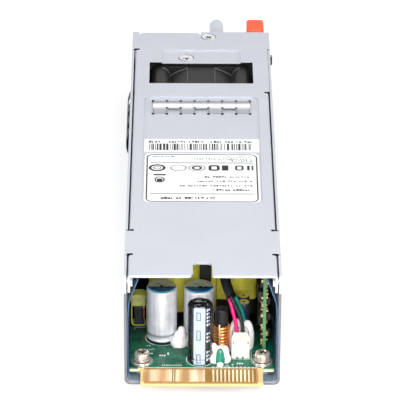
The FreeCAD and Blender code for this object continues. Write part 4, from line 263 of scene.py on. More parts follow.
def platedSteel(name, color, roughness, metallic=1.0, shadedRecess=0.0):
    # turned or plated small steel parts with hairline scratches and a soft bloom;
    # shadedRecess is the size of a screw's recesses, which are painted dark as shade
    s = steelLook
    finish = Finish(name, color, roughness, metallic=metallic)
    size, depth = s["headHair" if shadedRecess else "hair"]
    hair = finish.noise(size, 4.0, (0.2, 3.0, 0.2), 5.0)
    body = finish.vary(finish.noise(s["bloomSize"], 3.0), 0.9, 1.04)
    if shadedRecess:
        openness = finish.node("AmbientOcclusion", {"samples": 8, "only_local": True},
                               {"Distance": shadedRecess * mm}, "AO")
        body = finish.mix(finish.fade(openness, 0.5, 0.92), finish.shade(0.02), body)
    finish.polish(hair, roughness * 0.75, roughness * 1.35, 0.35, 0.75)
    return finish.done(body, s["edgeRadius"], hair, depth)


def innerSteel(name):
    # latch steel: plain outside; further in it is painted near black, as shade inside the casing
    s = steelLook
    finish = Finish(name, s["latch"], 0.45)
    bloom = finish.noise(s["bloomSize"], 3.0)
    inside = finish.axes("Y")[0] < s["latchDarkTo"]
    finish.feed("Metallic", s["latchMetallic"] - inside * s["latchMetallic"])
    body = finish.mix(inside, finish.vary(bloom, 0.85, 1.05), finish.shade(0.02))
    return finish.done(body, s["edgeRadius"], bloom, 0.004)


stripLook = {"crown": (240, 241, 243), "slope": (128, 130, 134), "side": (72, 73, 76),
             "shadedLeg": (25.5, 25.5, 28.6), "sheetTop": 39.45, "legFrom": 38.0, "roughness": 0.34,
             "metallic": 0.25, "rear": (29.6, 31.6), "middle": 29.0, "cellHalf": 2.42, "border": 0.32,
             "sideTo": -24.4}


def springStrip():
    # stamped contact strip with its shading painted in: the crown catches the light in the bright steel
    # colour, and painted shade darkens the slopes, the rear edge, the cell borders, the strip on the side
    # wall and the legs below the sheet
    s = stripLook
    finish = Finish("springStrip", s["crown"], s["roughness"])
    x, y, z = finish.axes()
    slope, brush = paint(s["slope"]), finish.noise(0.5, stretch=(1, 8, 1))
    steep = finish.fade(abs(finish.facing("Y")[0]), 0.1, 0.42)
    border = finish.math("PINGPONG", x - s["cellHalf"], s["cellHalf"]) < s["border"]
    border = border * finish.fade(abs(y - s["middle"]), 1.2, 2.0)
    outer = x < s["sideTo"]
    shadedLeg = (z < s["sheetTop"]) * (z > s["legFrom"])
    body = finish.over(finish.vary(brush, 0.94, 1.0), (steep, slope),
                       (finish.fade(y, *s["rear"]) * 0.75, slope), (border * 0.8, slope),
                       (outer, paint(s["side"])), (shadedLeg, paint(s["shadedLeg"])))
    shine = finish.fade(brush, 0.3, 0.7, s["roughness"] * 0.85, s["roughness"] * 1.2)
    finish.feed("Roughness", shine + outer * 0.4)
    finish.feed("Metallic", s["metallic"] - outer * s["metallic"])
    return finish.done(body, 0.08, brush, 0.002)


goldLook = {"deep": (206, 158, 104), "pale": (255, 232, 194), "side": (150, 112, 44), "gap": (70, 52, 30),
            "roughness": 0.26, "metallic": 0.3, "fingerMiddle": -9.15, "pitch": 1.27, "fingersFrom": 2.9,
            "split": -9.4, "splitHalf": 0.17}


def goldPlate():
    # plated contacts: broad warm reflections painted in patches; the narrow fingers are painted darker
    # towards their sides, as shade on their rounded plating
    s = goldLook
    finish = Finish("goldPlate", s["pale"], s["roughness"], metallic=s["metallic"])
    x = finish.axes("X")[0]
    patch = finish.fade(finish.noise(4.6, 0.5, (1, 30, 1), 1.4), 0.34, 0.5)
    wipe = finish.noise(0.8, 1.0, (1, 24, 1))
    aside = finish.math("PINGPONG", x - s["fingerMiddle"], s["pitch"] / 2)
    narrow = (x > s["fingersFrom"]) * finish.fade(aside, 0.2, 0.36)
    body = finish.over(paint(s["deep"]), (patch, finish.color),
                       (abs(x - s["split"]) < s["splitHalf"], paint(s["gap"])), (narrow, paint(s["side"])))
    finish.polish(wipe, s["roughness"] * 0.8, s["roughness"] * 1.3, 0.3, 0.8)
    return finish.done(body, 0.05, wipe, 0.001)


def clouded(name, color, roughness, noise, shares, relief, **constants):
    # a finish whose colour drifts with one noise, which also lifts its surface a little
    finish = Finish(name, color, roughness, **constants)
    drift = finish.noise(*noise)
    return finish.done(finish.vary(drift, *shares), relief[0], drift, relief[1])


def enamelledCopper(name, color):
    # lacquered copper wire: glossy coat over warm metal
    return clouded(name, color, 0.24, (0.9,), (0.72, 1.2), (0.08, 0.01), metallic=0.75, coat=1.0,
                   coatRoughness=0.14)


def topInk(name, color):
    # print on a can's top
    return clouded(name, color, 0.36, (1.1, 3.0), (0.85, 1.12), (0.1, 0.01), metallic=0.1)


# Plastic, rubber and board finishes

def moulded(name, color, roughness, grain=0.14, depth=0.01, edge=1.25, radius=0.2, **constants):
    # moulded plastic or rubber: fine spark grain, slight colour drift, and a painted highlight that makes
    # the edges lighter
    finish = Finish(name, color, roughness, **constants)
    spark = finish.noise(grain, 3.0)
    body = finish.vary(finish.noise(7.0, shift=2.0), 0.92, 1.06)
    finish.polish(spark, roughness * 0.88, roughness * 1.15, 0.3, 0.75)
    return finish.done(finish.mix(finish.highlitEdges(radius) * 0.7, body, finish.shade(edge)), radius, spark, depth)


boardLook = {"mask": (0, 88, 66), "maskDark": (0, 74, 56), "copper": (6, 102, 74), "cut": (206, 214, 178),
             "roughness": 0.32, "trackSize": 4.94, "bare": (150, 112, 44), "bareCut": (226, 188, 132),
             "bareFrom": -90.3, "tongueMiddle": -0.5, "tongueHalf": 20.15, "pads": (18.0, 18.4),
             "backShade": (0, 25.5, 15.6), "backShadeRun": (-82.0, -58.0)}
controlLook = {"mask": (52, 118, 62), "maskDark": (38, 96, 52), "copper": (70, 138, 76),
               "cut": (98, 146, 96)}


def circuitBoard(name, flat="Z", colors=None):
    # solder mask over copper areas, with a cream glass-fibre edge
    s = dict(boardLook, **(colors or {}))
    finish = Finish(name, s["mask"], s["roughness"], coat=0.12, coatRoughness=0.2, specular=0.3)
    copper = finish.fade(finish.noise(s["trackSize"], 1.0, shift=4.0), 0.47, 0.49)
    weave = finish.noise(0.5, shift=8.0)
    cut = paint(s["cut"])
    mask = finish.over(paint(s["maskDark"]), (copper, paint(s["copper"])),
                       (finish.fade(weave, 0.3, 0.8) * 0.35, finish.color))
    if flat == "Z":
        # bare laminate on the tongue, and painted shade that darkens the mask further in
        x, y = finish.axes("XY")
        aside, tongue = abs(x - s["tongueMiddle"]), paint(s["bareCut"])
        bare = (y < s["bareFrom"]) * (aside < s["tongueHalf"])
        gold = finish.mix(finish.fade(aside, *s["pads"]), paint(s["bare"]), tongue)
        mask = finish.over(mask, (finish.fade(y, *s["backShadeRun"]), paint(s["backShade"])), (bare, gold))
        cut = finish.mix(bare, cut, tongue)
    up = abs(finish.facing(flat)[0])
    finish.polish(weave, s["roughness"] * 0.8, s["roughness"] * 1.3, 0.3, 0.8)
    return finish.done(finish.mix(up > 0.6, cut, mask), 0.06, copper * 0.8 + weave * 0.2, 0.02)


tabLook = {"color": (236, 84, 34), "roughness": 0.36, "edgeRadius": 0.35, "innerTo": 98.9, "innerTop": 35.5,
           "frontTop": 31.5}


def tabOrange():
    # the release tab's soft orange plastic, with a painted highlight on its edges; its inner end and its
    # lower front faces are painted near black, as the shade inside the casing
    s = tabLook
    finish = Finish("tabOrange", s["color"], s["roughness"])
    y, z = finish.axes("YZ")
    front = (finish.facing("Y")[0] < -0.4) * (z < s["frontTop"])
    inner = finish.math("MAXIMUM", (y < s["innerTo"]) * (z < s["innerTop"]), front)
    body = finish.over(finish.color, (finish.highlitEdges(s["edgeRadius"]) * 0.7, finish.shade(1.35)),
                       (inner, finish.shade(0.03)))
    spark = finish.noise(0.2, 3.0)
    finish.polish(spark, 0.32, 0.42, 0.3, 0.75)
    return finish.done(body, s["edgeRadius"], spark, 0.012)


tapeLook = {"overlap": 6.5, "gloss": 0.35, "creaseSize": 3.0, "lapLine": 0.14, "seamLine": (0.05, 0.3)}


def tapeWrap(name, color, seam=None, foot=0.0):
    # polyester tape: soft creases, lap edges and a satin shine; beyond a seam its foot is dark
    s = tapeLook
    finish = Finish(name, color, s["gloss"], coat=0.3, coatRoughness=0.25)
    x, z = finish.axes("XZ")
    crease = finish.noise(s["creaseSize"], 3.0, (1, 1, 2.6))
    fine = finish.noise(0.4, shift=6.0)
    lap = abs(finish.math("PINGPONG", z + crease * 0.4, s["overlap"]) - s["overlap"] / 2)
    body = finish.over(finish.vary(crease, 0.72, 1.12, 0.3, 0.75),
                       (finish.fade(lap, 0.0, s["lapLine"], 1.0, 0.0) * 0.4, finish.shade(0.5)))
    if seam is not None:
        line = finish.fade(abs(x - seam), *s["seamLine"], 1.0, 0.0) * 0.75
        body = finish.over(body, (line, finish.shade(0.15)), ((x > seam) * (z < foot), finish.shade(0.02)))
    finish.polish(fine, s["gloss"] * 0.8, s["gloss"] * 1.3)
    return finish.done(body, 0.2, crease * 0.8 + fine * 0.2, 0.12)


def clearSheet(name, color, alpha, cut, roughness=0.14):
    # thin clear or tinted film with soft waves; its cut edge shows brighter
    finish = Finish(name, color, roughness)
    end = abs(finish.facing("Y")[0]) > 0.7
    finish.feed("Alpha", end * (0.95 - alpha) + alpha)
    wave = finish.noise(11.0, stretch=(1, 2.4, 1))
    return finish.done(finish.mix(end, finish.color, paint(cut)), 0.04, wave, 0.3)


def printInk(name, color, roughness=0.5):
    # screen print or laser print: nearly flat, with thin spots
    finish = Finish(name, color, roughness)
    thin = finish.noise(0.3, 3.0)
    finish.polish(thin, roughness * 0.9, roughness * 1.2)
    finish.feed("Base Color", finish.over(finish.color, (finish.fade(thin, 0.55, 0.8) * 0.3,
                                                         finish.shade(1.6))))
    return finish.material


def labelFilm():
    # satin label stock with a faint fibre and slightly lifted edges
    finish = Finish("labelFilm", (238, 239, 240), 0.45, coat=0.15)
    fibre, cloud = finish.noise(0.5, 4.0), finish.noise(9.0, shift=3.0)
    finish.polish(fibre, 0.4, 0.52)
    return finish.done(finish.vary(cloud, 0.95, 1.0), 0.08, fibre * 0.3 + cloud, 0.02)


def whiteCompound():
    # cured silicone: milky, lightly pitted
    finish = Finish("whiteCompound", (236, 230, 228), 0.42)
    lump, pit = finish.noise(1.8, 3.0), finish.noise(0.35, shift=5.0)
    finish.polish(pit, 0.34, 0.52)
    body = finish.over(finish.color, (finish.fade(lump), paint((250, 246, 244))))
    return finish.done(body, 0.3, lump + pit * 0.3, 0.12)


def glassTube():
    # the fuse's glass
    finish = Finish("glassTube", (226, 230, 226), 0.08, alpha=0.4)
    streak = finish.noise(0.8)
    finish.polish(streak, 0.05, 0.14)
    return finish.done(finish.color, 0.1, streak, 0.02)


canLook = {"dull": (216, 218, 224), "bright": (238, 239, 243), "neck": (96, 100, 110), "foot": (20, 22, 26),
           "sleeve": (34, 40, 58), "sleeveFrom": 9.0, "metallic": 0.3, "neckTop": (8.9, 8.1),
           "neckLow": (7.5, 7.8), "footRun": (6.3, 5.7)}


def canWall():
    # drawn aluminium cans; the two small ones at the right wear a dark blue sleeve
    s = canLook
    finish = Finish("canWall", s["dull"], 0.36)
    x, z = finish.axes("XZ")
    drawn, cloud = finish.noise(0.5, stretch=(1, 1, 30)), finish.noise(3.0, shift=4.0)
    sleeve = x > s["sleeveFrom"]
    # a drawn-in neck painted darker as shade, a bead below it, and a painted shadow as the dark line where
    # the can meets the board
    neck = finish.fade(z, *s["neckTop"]) * finish.fade(z, *s["neckLow"])
    sheen = finish.fade(drawn * 0.5 + cloud * 0.5, 0.35, 0.65)
    body = finish.over(finish.color, (sheen, paint(s["bright"])),
                       (neck * 0.65, paint(s["neck"])), (finish.fade(z, *s["footRun"]), paint(s["foot"])),
                       (sleeve, paint(s["sleeve"])))
    finish.feed("Metallic", s["metallic"] - sleeve * s["metallic"])
    finish.polish(drawn, 0.32, 0.42)
    return finish.done(body, 0.15, drawn, 0.003)


sleeveLook = {"skin": (8, 9, 12), "skinPale": (26, 28, 34), "stripe": (176, 192, 214), "metal": (26, 26, 28),
              "metalReflection": (206, 207, 210), "rimDepth": 0.5, "metallic": 0.6}


def shrinkSleeve(name, centre, radius, top, rim, stripe=None):
    # glossy black sleeve that rolls over the rim of a can; bare metal shows inside the rim, painted with
    # pale streaks as reflections, and a printed stripe lies between two angles
    s = sleeveLook
    finish = Finish(name, s["skin"], 0.24, coat=0.5, coatRoughness=0.1)
    x, y, z = finish.axes()
    dx, dy = x - centre[0], y - centre[1]
    bare = (z > top - s["rimDepth"]) * (finish.math("SQRT", dx * dx + dy * dy) < radius - rim)
    wrinkle, streak = finish.noise(1.4, stretch=(1, 1, 4)), finish.noise(1.5, 2.0, (2.4, 1, 1), 9.0)
    skin = finish.over(finish.color, (finish.fade(wrinkle), paint(s["skinPale"])))
    if stripe:
        angle = finish.math("ARCTAN2", dy, dx) * math.degrees(1)
        skin = finish.mix(finish.band(angle, *stripe), skin, paint(s["stripe"]))
    plate = finish.mix(finish.fade(streak, 0.5, 0.62), paint(s["metal"]), paint(s["metalReflection"]))
    finish.feed("Metallic", bare * s["metallic"])
    finish.polish(wrinkle, 0.18, 0.32)
    return finish.done(finish.mix(bare, skin, plate), 0.25, wrinkle, 0.05)


# Which nodes wear which finish

print("making finishes")
screwSteel = platedSteel("screwSteel", (226, 214, 202), 0.26, 0.75, 1.1)
brightSteel = platedSteel("brightSteel", (226, 226, 228), 0.3, 0.4, 0.9)
blackPlastic = moulded("blackPlastic", (26, 26, 28), 0.5)
copperWire = enamelledCopper("enamelledCopper", (236, 150, 76))
compoundWhite = whiteCompound()
beadTeal = moulded("beadTeal", (0, 128, 100), 0.22, coat=0.5)

wearers = [
    (zincSheet("zincSheet"), "base_tray top_cover rear_panel"),
    # the fan bracket wears the sheet painted much darker, as shade inside the casing
    (zincSheet("innerZinc", 0.22), "fan_bracket"),
    (brightSteel, "casing_screws press_fittings"),
    (screwSteel, "handle_screws fan_screws board_screws"),
    (labelFilm(), "rating_label serial_label"),
    (springStrip(), "contact_strips"),
    (clearSheet("filmClear", (128, 150, 168), 0.42, (60, 102, 146)), "insulation_film"),
    (moulded("inletPlastic", (20, 20, 22), 0.42, 0.2, 0.02), "ac_inlet"),
    (platedSteel("nickelBlade", (206, 200, 186), 0.24), "inlet_pins"),
    (moulded("handleGrey", (198, 202, 212), 0.34, 0.25, 0.012, 1.2, metallic=0.2), "pull_handle"),
    (moulded("lensGreen", (120, 206, 132), 0.25, edge=1.1, subsurface=0.3), "status_light"),
    (innerSteel("innerSteel"), "latch_bracket"),
    (innerSteel("leverSteel"), "latch_lever"),
    (platedSteel("springSteel", (240, 241, 244), 0.3, 0.25), "latch_pin latch_spring fan_shaft"),
    (tabOrange(), "latch_tab"),
    (moulded("fanPlastic", (10, 10, 11), 0.46), "fan_frame"),
    (moulded("rotorPlastic", (30, 30, 33), 0.4), "fan_rotor"),
    (moulded("magnetDark", (60, 56, 52), 0.6), "fan_magnet"),
    (platedSteel("bearingBronze", (184, 138, 84), 0.4), "fan_bearings"),
    (platedSteel("laminations", (120, 120, 124), 0.5), "fan_stator"),
    (circuitBoard("fanCircuit", "Y"), "fan_circuit"),
    (moulded("padRubber", (44, 44, 46), 0.8), "fan_pad"),
    (moulded("sleeveBlack", (5, 8, 14), 0.3, 0.5, 0.03, coat=0.3), "fan_cable_sleeve"),
    (moulded("wireMagenta", (226, 16, 112), 0.32, 0.6, edge=1.05), "fan_wire_red"),
    (moulded("wireBlack", (30, 33, 38), 0.34, 0.6), "fan_wire_black"),
    (moulded("wireTeal", (0, 118, 108), 0.32, 0.6, edge=1.05), "fan_wire_green"),
    (moulded("whiteNylon", (238, 236, 228), 0.42, edge=1.04, radius=0.15, subsurface=0.1),
     "fan_header fan_plug"),
    (circuitBoard("boardGreen"), "main_board"),
    (goldPlate(), "edge_contacts"),
    (canWall(), "output_capacitors"),
    (shrinkSleeve("filterSleeve", (-0.7, -85.15), 4.05, 25.9, 1.5, (-121, -66)), "filter_capacitor"),
    (moulded("darkFerrite", (26, 26, 30), 0.55, 0.3, 0.03, 1.5),
     "rod_choke_core transformer_core boost_choke_core common_mode_core"),
    (copperWire, "rod_choke_winding common_mode_windings"),
    (compoundWhite, "fixing_compound"),
    (beadTeal, "bead_thermistor"),
    (circuitBoard("controlGreen", "X", controlLook), "control_board"),
    (moulded("partsBlack", (11, 11, 12), 0.45, edge=1.5), "control_parts"),
    (tapeWrap("tapeYellow", (226, 216, 78), 4.7, 12.8), "transformer_winding"),
    (blackPlastic, "transformer_bobbin sense_coil power_semiconductors"),
    (clearSheet("sleeveYellow", (196, 194, 92), 0.9, (178, 178, 88), 0.3), "insulation_sleeve"),
    (shrinkSleeve("bulkSleeve", (-13.2, -19.4), 9.0, 31.0, 1.2), "bulk_capacitor"),
    (tapeWrap("chokeTape", (196, 178, 58)), "boost_choke_winding"),
    (platedSteel("sinkAluminium", (186, 188, 192), 0.42), "heat_sink"),
    (moulded("filmCapacitor", (206, 186, 74), 0.38, edge=1.1), "x_capacitor"),
    (glassTube(), "line_fuse"),
]
dressed = set()
for finish, names in wearers:
    for nodeName in names.split():
        nodes[nodeName].data.materials.clear()
        nodes[nodeName].data.materials.append(finish)
        dressed.add(nodeName)
print("finishes:", len(dressed), "left out:", sorted(set(nodes) - dressed))


# Mesh helpers

def linked(name, data):
    # a new object of the scene
    made = bpy.data.objects.new(name, data)
    bpy.context.scene.collection.objects.link(made)
    return made


def meshOf(name, points, faces):
    mesh = bpy.data.meshes.new(name)
    mesh.from_pydata([Vector(p) * mm for p in points], [], faces)
    return mesh


def makePiece(name, points, faces, material):
    mesh = meshOf(name, points, faces)
    mesh.validate()
    mesh.update()
    mesh.materials.append(material)
    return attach(linked(name, mesh), "casing")


def wound(rows, sides):
    # four-sided faces between rows of points that run all the way round
    return [(row + k, row + (k + 1) % sides, row + (k + 1) % sides + sides, row + k + sides)
            for row in range(0, (rows - 1) * sides, sides) for k in range(sides)]


def turned(name, profile, centre, material, steps, turn=Matrix.Identity(3)):
    # a turned form from (radius, height) pairs, closed where the radius is 0
    points = []
    for radius, height in profile:
        circle = arc(0, 0, radius, steps=steps)
        points += [turn @ Vector((*spot, height)) + Vector(centre) for spot in circle]
    piece = makePiece(name, points, wound(len(profile), steps), material)
    weldAndSmooth(piece.data, 35)
    return piece


def weldAndSmooth(mesh, angle):
    # join coinciding corners and shade smooth up to an angle
    work = bmesh.new()
    work.from_mesh(mesh)
    bmesh.ops.remove_doubles(work, verts=work.verts, dist=0.001 * mm)
    bmesh.ops.dissolve_degenerate(work, edges=work.edges, dist=0.001 * mm)
    bmesh.ops.recalc_face_normals(work, faces=work.faces)
    for face in work.faces:
        face.smooth = True
    for edge in work.edges:
        edge.smooth = len(edge.link_faces) == 2 and edge.calc_face_angle(0) < math.radians(angle)
    work.to_mesh(mesh)
    work.free()


def arc(x, y, wide, high=None, steps=40, start=0.0, sweep=360.0):
    # points along a circle or an ellipse, or along a part of one with both its ends
    angles = [math.radians(start + sweep * k / steps) for k in range(steps + (sweep < 360))]
    return [(x + wide * math.cos(a), y + (high or wide) * math.sin(a)) for a in angles]


def stroke(points, width, closed=False):
    # four-sided patches that follow a line of points
    count = len(points)
    left, right = [], []
    for i, (x, y) in enumerate(points):
        before = points[i - 1] if closed or i else points[i]
        after = points[(i + 1) % count] if closed or i < count - 1 else points[i]
        run = Vector((after[0] - before[0], after[1] - before[1])).normalized() * width / 2
        left.append((x - run.y, y + run.x))
        right.append((x + run.y, y - run.x))
    last = count if closed else count - 1
    return [[left[i], right[i], right[(i + 1) % count], left[(i + 1) % count]] for i in range(last)]


def ring(x, y, radius, width, steps=48):
    return stroke(arc(x, y, radius, steps=steps), width, True)


def oval(x, y, wide, high, width):
    return stroke(arc(x, y, wide, high), width, True)


def bar(left, low, right, high):
    return [(left, low), (right, low), (right, high), (left, high)]


def roundedLoop(left, low, right, high, radius, steps=5):
    corners = [(right - radius, low + radius, -90), (right - radius, high - radius, 0),
               (left + radius, high - radius, 90), (left + radius, low + radius, 180)]
    return [spot for x, y, start in corners for spot in arc(x, y, radius, None, steps, start, 90)]


def flat(x, y, z):
    return (x, y, z)


def flatPrint(name, shapes, height, material, lay=flat):
    # printed marks: thin patches that lie at a height, or where lay puts them
    points, faces = [], []
    for shape in shapes:
        faces.append(tuple(range(len(points), len(points) + len(shape))))
        points += [lay(x, y, height) for x, y in shape]
    piece = makePiece(name, points, faces, material)


def addBlock(lists, low, high):
    # adds a block to lists of points and faces
    points, faces = lists
    base = len(points)
    points += [(x, y, z) for x in (low[0], high[0]) for y in (low[1], high[1]) for z in (low[2], high[2])]
    for quad in ((0, 1, 3, 2), (4, 6, 7, 5), (0, 4, 5, 1), (2, 3, 7, 6), (0, 2, 6, 4), (1, 5, 7, 3)):
        faces.append(tuple(base + i for i in quad))


def bevelled(piece, width, segments=2):
    # rounds a piece's edges
    modifier = piece.modifiers.new("Bevel", "BEVEL")
    modifier.width = width * mm
    modifier.segments = segments
    modifier.limit_method = "ANGLE"
    return piece


def bakeModifiers(piece):
    # turns a piece's modifiers into its own mesh
    graph = bpy.context.evaluated_depsgraph_get()
    mesh = bpy.data.meshes.new_from_object(piece.evaluated_get(graph))
    piece.modifiers.clear()
    piece.data = mesh


def place(node):
    # lowest and highest corner of a node
    low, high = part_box(node)
    return low / mm, high / mm


def middle(node):
    # a node's middle, seen from above
    low, high = place(node)
    return (low.x + high.x) / 2, (low.y + high.y) / 2


# Cross recessed screws: profiles hold radius and height below the top of the head

screwKinds = {
    "board": {"node": "board_screws", "steel": screwSteel, "recess": 3.0, "depth": 1.1,
              "profile": [(0, -3.7), (3.15, -3.7), (3.15, -3.2), (2.95, -3.05), (2.65, -3.05), (2.75, -2.6),
                          (2.45, -2.4), (2.5, -1.0), (2.35, -0.45), (2.0, -0.15), (1.5, -0.03), (0, 0)]},
    "cover": {"node": "casing_screws", "steel": brightSteel, "recess": 3.2, "depth": 0.9,
              "profile": [(0, -4.2), (1.4, -4.2), (1.4, -0.95), (2.6, -0.2), (2.68, -0.06), (2.55, 0.0),
                          (2.1, -0.1), (0, -0.14)]},
    "side": {"node": "casing_screws", "steel": brightSteel, "recess": 2.3, "depth": 0.7,
             "profile": [(0, -2.7), (1.15, -2.7), (1.15, -0.85), (1.95, -0.15), (2.0, -0.05), (1.9, 0),
                         (0, -0.05)]},
}
headTop = place("board_screws")[1].z
# kind, centre of the head's top, turn about the y axis, turn of the cross
screws = {
    "boardScrewLeft": ("board", (-19.45, -86.2, headTop), 0, 18),
    "boardScrewRight": ("board", (19.45, -86.2, headTop), 0, 52),
    "coverScrewRear": ("cover", (2.8, 88.3, 40.0), 0, 38),
    "coverScrewFan": ("cover", (-5.35, 71.204, 39.5), 0, 12),
    "sideScrewLeft": ("side", (-25.0, -89.5, 36.3), -90, 20),
    "sideScrewRight": ("side", (25.0, -89.5, 36.3), 90, 20),
}
recessCut = {"width": 0.3, "above": 0.3, "mouth": 1.06, "floor": 0.45}


def crossCutter(size, depth, centre, turn):
    # a tapered cross that is cut out of a screw head
    s = recessCut
    points, faces = lists = [], []
    for along, across in ((size, size * s["width"]), (size * s["width"], size)):
        addBlock(lists, (-along / 2, -across / 2, -depth), (along / 2, across / 2, s["above"]))
    for i, (x, y, z) in enumerate(points):
        share = s["mouth"] if z > 0 else s["floor"]
        points[i] = turn @ Vector((x * share, y * share, z)) + Vector(centre)
    return linked("cutter", meshOf("cutter", points, faces))


def crossScrew(name, kind, centre, aside, angle):
    # a turned screw with a cross recess in its head
    s = screwKinds[kind]
    turn = Matrix.Rotation(math.radians(aside), 3, "Y")
    screw = turned(name, s["profile"], centre, s["steel"], 48, turn)
    twist = turn @ Matrix.Rotation(math.radians(angle), 3, "Z")
    cutter = crossCutter(s["recess"], s["depth"], centre, twist)
    cut = screw.modifiers.new("Recess", "BOOLEAN")
    cut.object = cutter
    cut.operation = "DIFFERENCE"
    cut.solver = "EXACT"
    cut.use_self = True
    bakeModifiers(screw)
    bpy.data.objects.remove(cutter)
    weldAndSmooth(screw.data, 30)
    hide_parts(s["node"])


screwShade = {"color": (74, 75, 78), "radius": 2.62, "width": 0.3, "starts": (170, 350), "sweep": 110,
              "lift": 0.03}


def makeScrewShade():
    # painted shade: dark part rings in the narrow gap between a cover screw's head and its countersink
    s = screwShade
    dark = Finish("countersinkDark", s["color"], 0.5)
    dark.polish(dark.noise(0.4), 0.4, 0.6)
    shapes, levels = [], {}
    for x, y, level in (settings[1] for settings in screws.values() if settings[0] == "cover"):
        for start in s["starts"]:
            patches = stroke(arc(x, y, s["radius"], None, 20, start, s["sweep"]), s["width"])
            levels.update({spot: level + s["lift"] for patch in patches for spot in patch})
            shapes += patches
    flatPrint("countersinkGap", shapes, 0, dark.material,
              lambda x, y, z: (x, y, levels[x, y]))


print("making screws")
for screwName, settings in screws.items():
    crossScrew(screwName, *settings)
makeScrewShade()


# Printed labels: offsets below 0 count from the right or far edge, others from the left or near edge

ratingPrint = {
    "inks": {"inkBold": (22, 22, 25), "inkSoft": (56, 58, 62), "inkRule": (92, 94, 98)}, "lift": 0.02,
    "inset": 0.9, "border": 0.46, "corner": 2.2, "rule": 0.5, "ruleInset": 1.2, "rules": (5.6, -6.2),
    # word rows: from, to, place, height, letter, gap
    "bold": [(4.8, 24.2, 1.9, 1.5, 0.95, 0.3), (-14.8, -0.9, 7.9, 1.2, 0.85, 0.3),
             (-9.4, -1.2, -5.1, 0.9, 0.75, 0.25)],
    "soft": [(-26.0, -0.9, 11.0, 1.1, 0.8, 0.35), (-20.2, -0.9, 14.2, 1.1, 0.8, 0.35),
             (-17.6, -0.9, 17.4, 1.1, 0.8, 0.35), (-21.2, -1.2, -3.6, 0.75, 0.7, 0.3),
             (-10.0, -1.2, -1.9, 0.6, 0.55, 0.25), (1.8, 9.8, -1.9, 0.7, 0.6, 0.25)],
    "bars": [(2.2, 19.0, 6.4, 20.0), (3.4, 14.4, 5.2, 16.6)], "oval": (4.3, 15.9, 1.5, 1.9, 0.5),
    "marksFrom": (3.4, 24.6),
}
# plain ovals, loops and bars where such labels carry approvals; none is a real mark
blankMarks = {
    "ovals": [(0, 2.4, 2.1, 0.9), (0, 1.2, 0.9, 0.35), (7.2, 2.6, 2.1, 0.32), (13.4, 2.7, 2.2, 0.3),
              (13.4, 1.4, 1.2, 0.75)],
    "loops": [(17.8, 20.6, 1.6, 0.95), (26.6, 28.8, 1.5, 0.7)], "corner": 0.7,
    "bars": [(21.8, 24.0, 1.9), (30.3, 31.2, 1.7), (31.8, 32.4, 1.7)],
}
serialPrint = {"rows": [(1.6, 6.4), (8.4, 22.0), (22.8, -1.6)], "rowFrom": -2.9, "height": 1.5,
               "letter": 0.85, "gap": 0.35, "stripesFrom": 1.8, "stripesTo": 2.2, "stripes": (0.9, 5.8),
               "widths": (0.22, 0.32, 0.5, 0.75), "gaps": (0.24, 0.34, 0.5, 0.8)}
# shares of a letter's height, width and gap
wordLook = {"letters": (2, 8), "drop": 0.25, "heights": (1.0, 0.75, 0.75), "widths": (0.5, 0.8, 1.0),
            "letterGap": 0.5, "wordGap": 2.2}
inks = {name: printInk(name, color) for name, color in ratingPrint["inks"].items()}


def fromEdge(low, high, offset):
    return low + offset if offset >= 0 else high + offset


def wordRow(left, right, y, height, letter, gap):
    # a row of plain blank blocks in groups, standing for words without saying anything
    s = wordLook
    shapes = []
    x = left
    while x < right - letter:
        for _ in range(chance.randint(*s["letters"])):
            if x + letter > right:
                break
            low = y + chance.choice((0.0, 0.0, height * s["drop"]))
            high = y + height * chance.choice(s["heights"])
            shapes.append(bar(x, low, x + letter * chance.choice(s["widths"]), high))
            x += letter + gap * s["letterGap"]
        x += gap * s["wordGap"]
    return shapes


def makeBlankMarks(x, y):
    s = blankMarks
    marks = [patch for dx, wide, high, width in s["ovals"] for patch in oval(x + dx, y, wide, high, width)]
    for start, stop, half, width in s["loops"]:
        marks += stroke(roundedLoop(x + start, y - half, x + stop, y + half, s["corner"]), width, True)
    return marks + [bar(x + start, y - half, x + stop, y + half) for start, stop, half in s["bars"]]


def makeRatingPrint():
    s = ratingPrint
    low, high = place("rating_label")
    left, right = low.x + s["inset"], high.x - s["inset"]
    near, far = low.y + s["inset"], high.y - s["inset"]

    def rows(table):
        return [shape for start, stop, y, *rest in table for shape in
                wordRow(fromEdge(left, right, start), fromEdge(left, right, stop),
                        fromEdge(near, far, y), *rest)]

    frameLine = stroke(roundedLoop(left, near, right, far, s["corner"]), s["border"], True)
    levels = [fromEdge(near, far, rule) for rule in s["rules"]]
    rules = [bar(left + s["ruleInset"], y - s["rule"] / 2, right - s["ruleInset"], y + s["rule"] / 2)
             for y in levels]
    bold = rows(s["bold"])
    x, y, *rest = s["oval"]
    bold += oval(left + x, near + y, *rest)
    bold += [bar(left + x0, near + y0, left + x1, near + y1) for x0, y0, x1, y1 in s["bars"]]
    marks = makeBlankMarks(left + s["marksFrom"][0], near + s["marksFrom"][1])
    for name, shapes, ink in (("ratingFrame", frameLine, "inkBold"), ("ratingRules", rules, "inkRule"),
                              ("ratingBold", bold, "inkBold"), ("ratingMarks", marks, "inkBold"),
                              ("ratingRows", rows(s["soft"]), "inkSoft")):
        flatPrint(name, shapes, high.z + s["lift"], inks[ink])


def makeSerialPrint():
    s = serialPrint
    low, high = place("serial_label")
    level = high.z + ratingPrint["lift"]
    rows, stripes = [], []
    for start, stop in s["rows"]:
        rows += wordRow(fromEdge(low.x, high.x, start), fromEdge(low.x, high.x, stop),
                        high.y + s["rowFrom"], s["height"], s["letter"], s["gap"])
    x = low.x + s["stripesFrom"]
    while x < high.x - s["stripesTo"]:
        width = chance.choice(s["widths"])
        stripes.append(bar(x, low.y + s["stripes"][0], x + width, low.y + s["stripes"][1]))
        x += width + chance.choice(s["gaps"])
    flatPrint("serialRow", rows, level, inks["inkSoft"])
    flatPrint("serialStripes", stripes, level, inks["inkBold"])


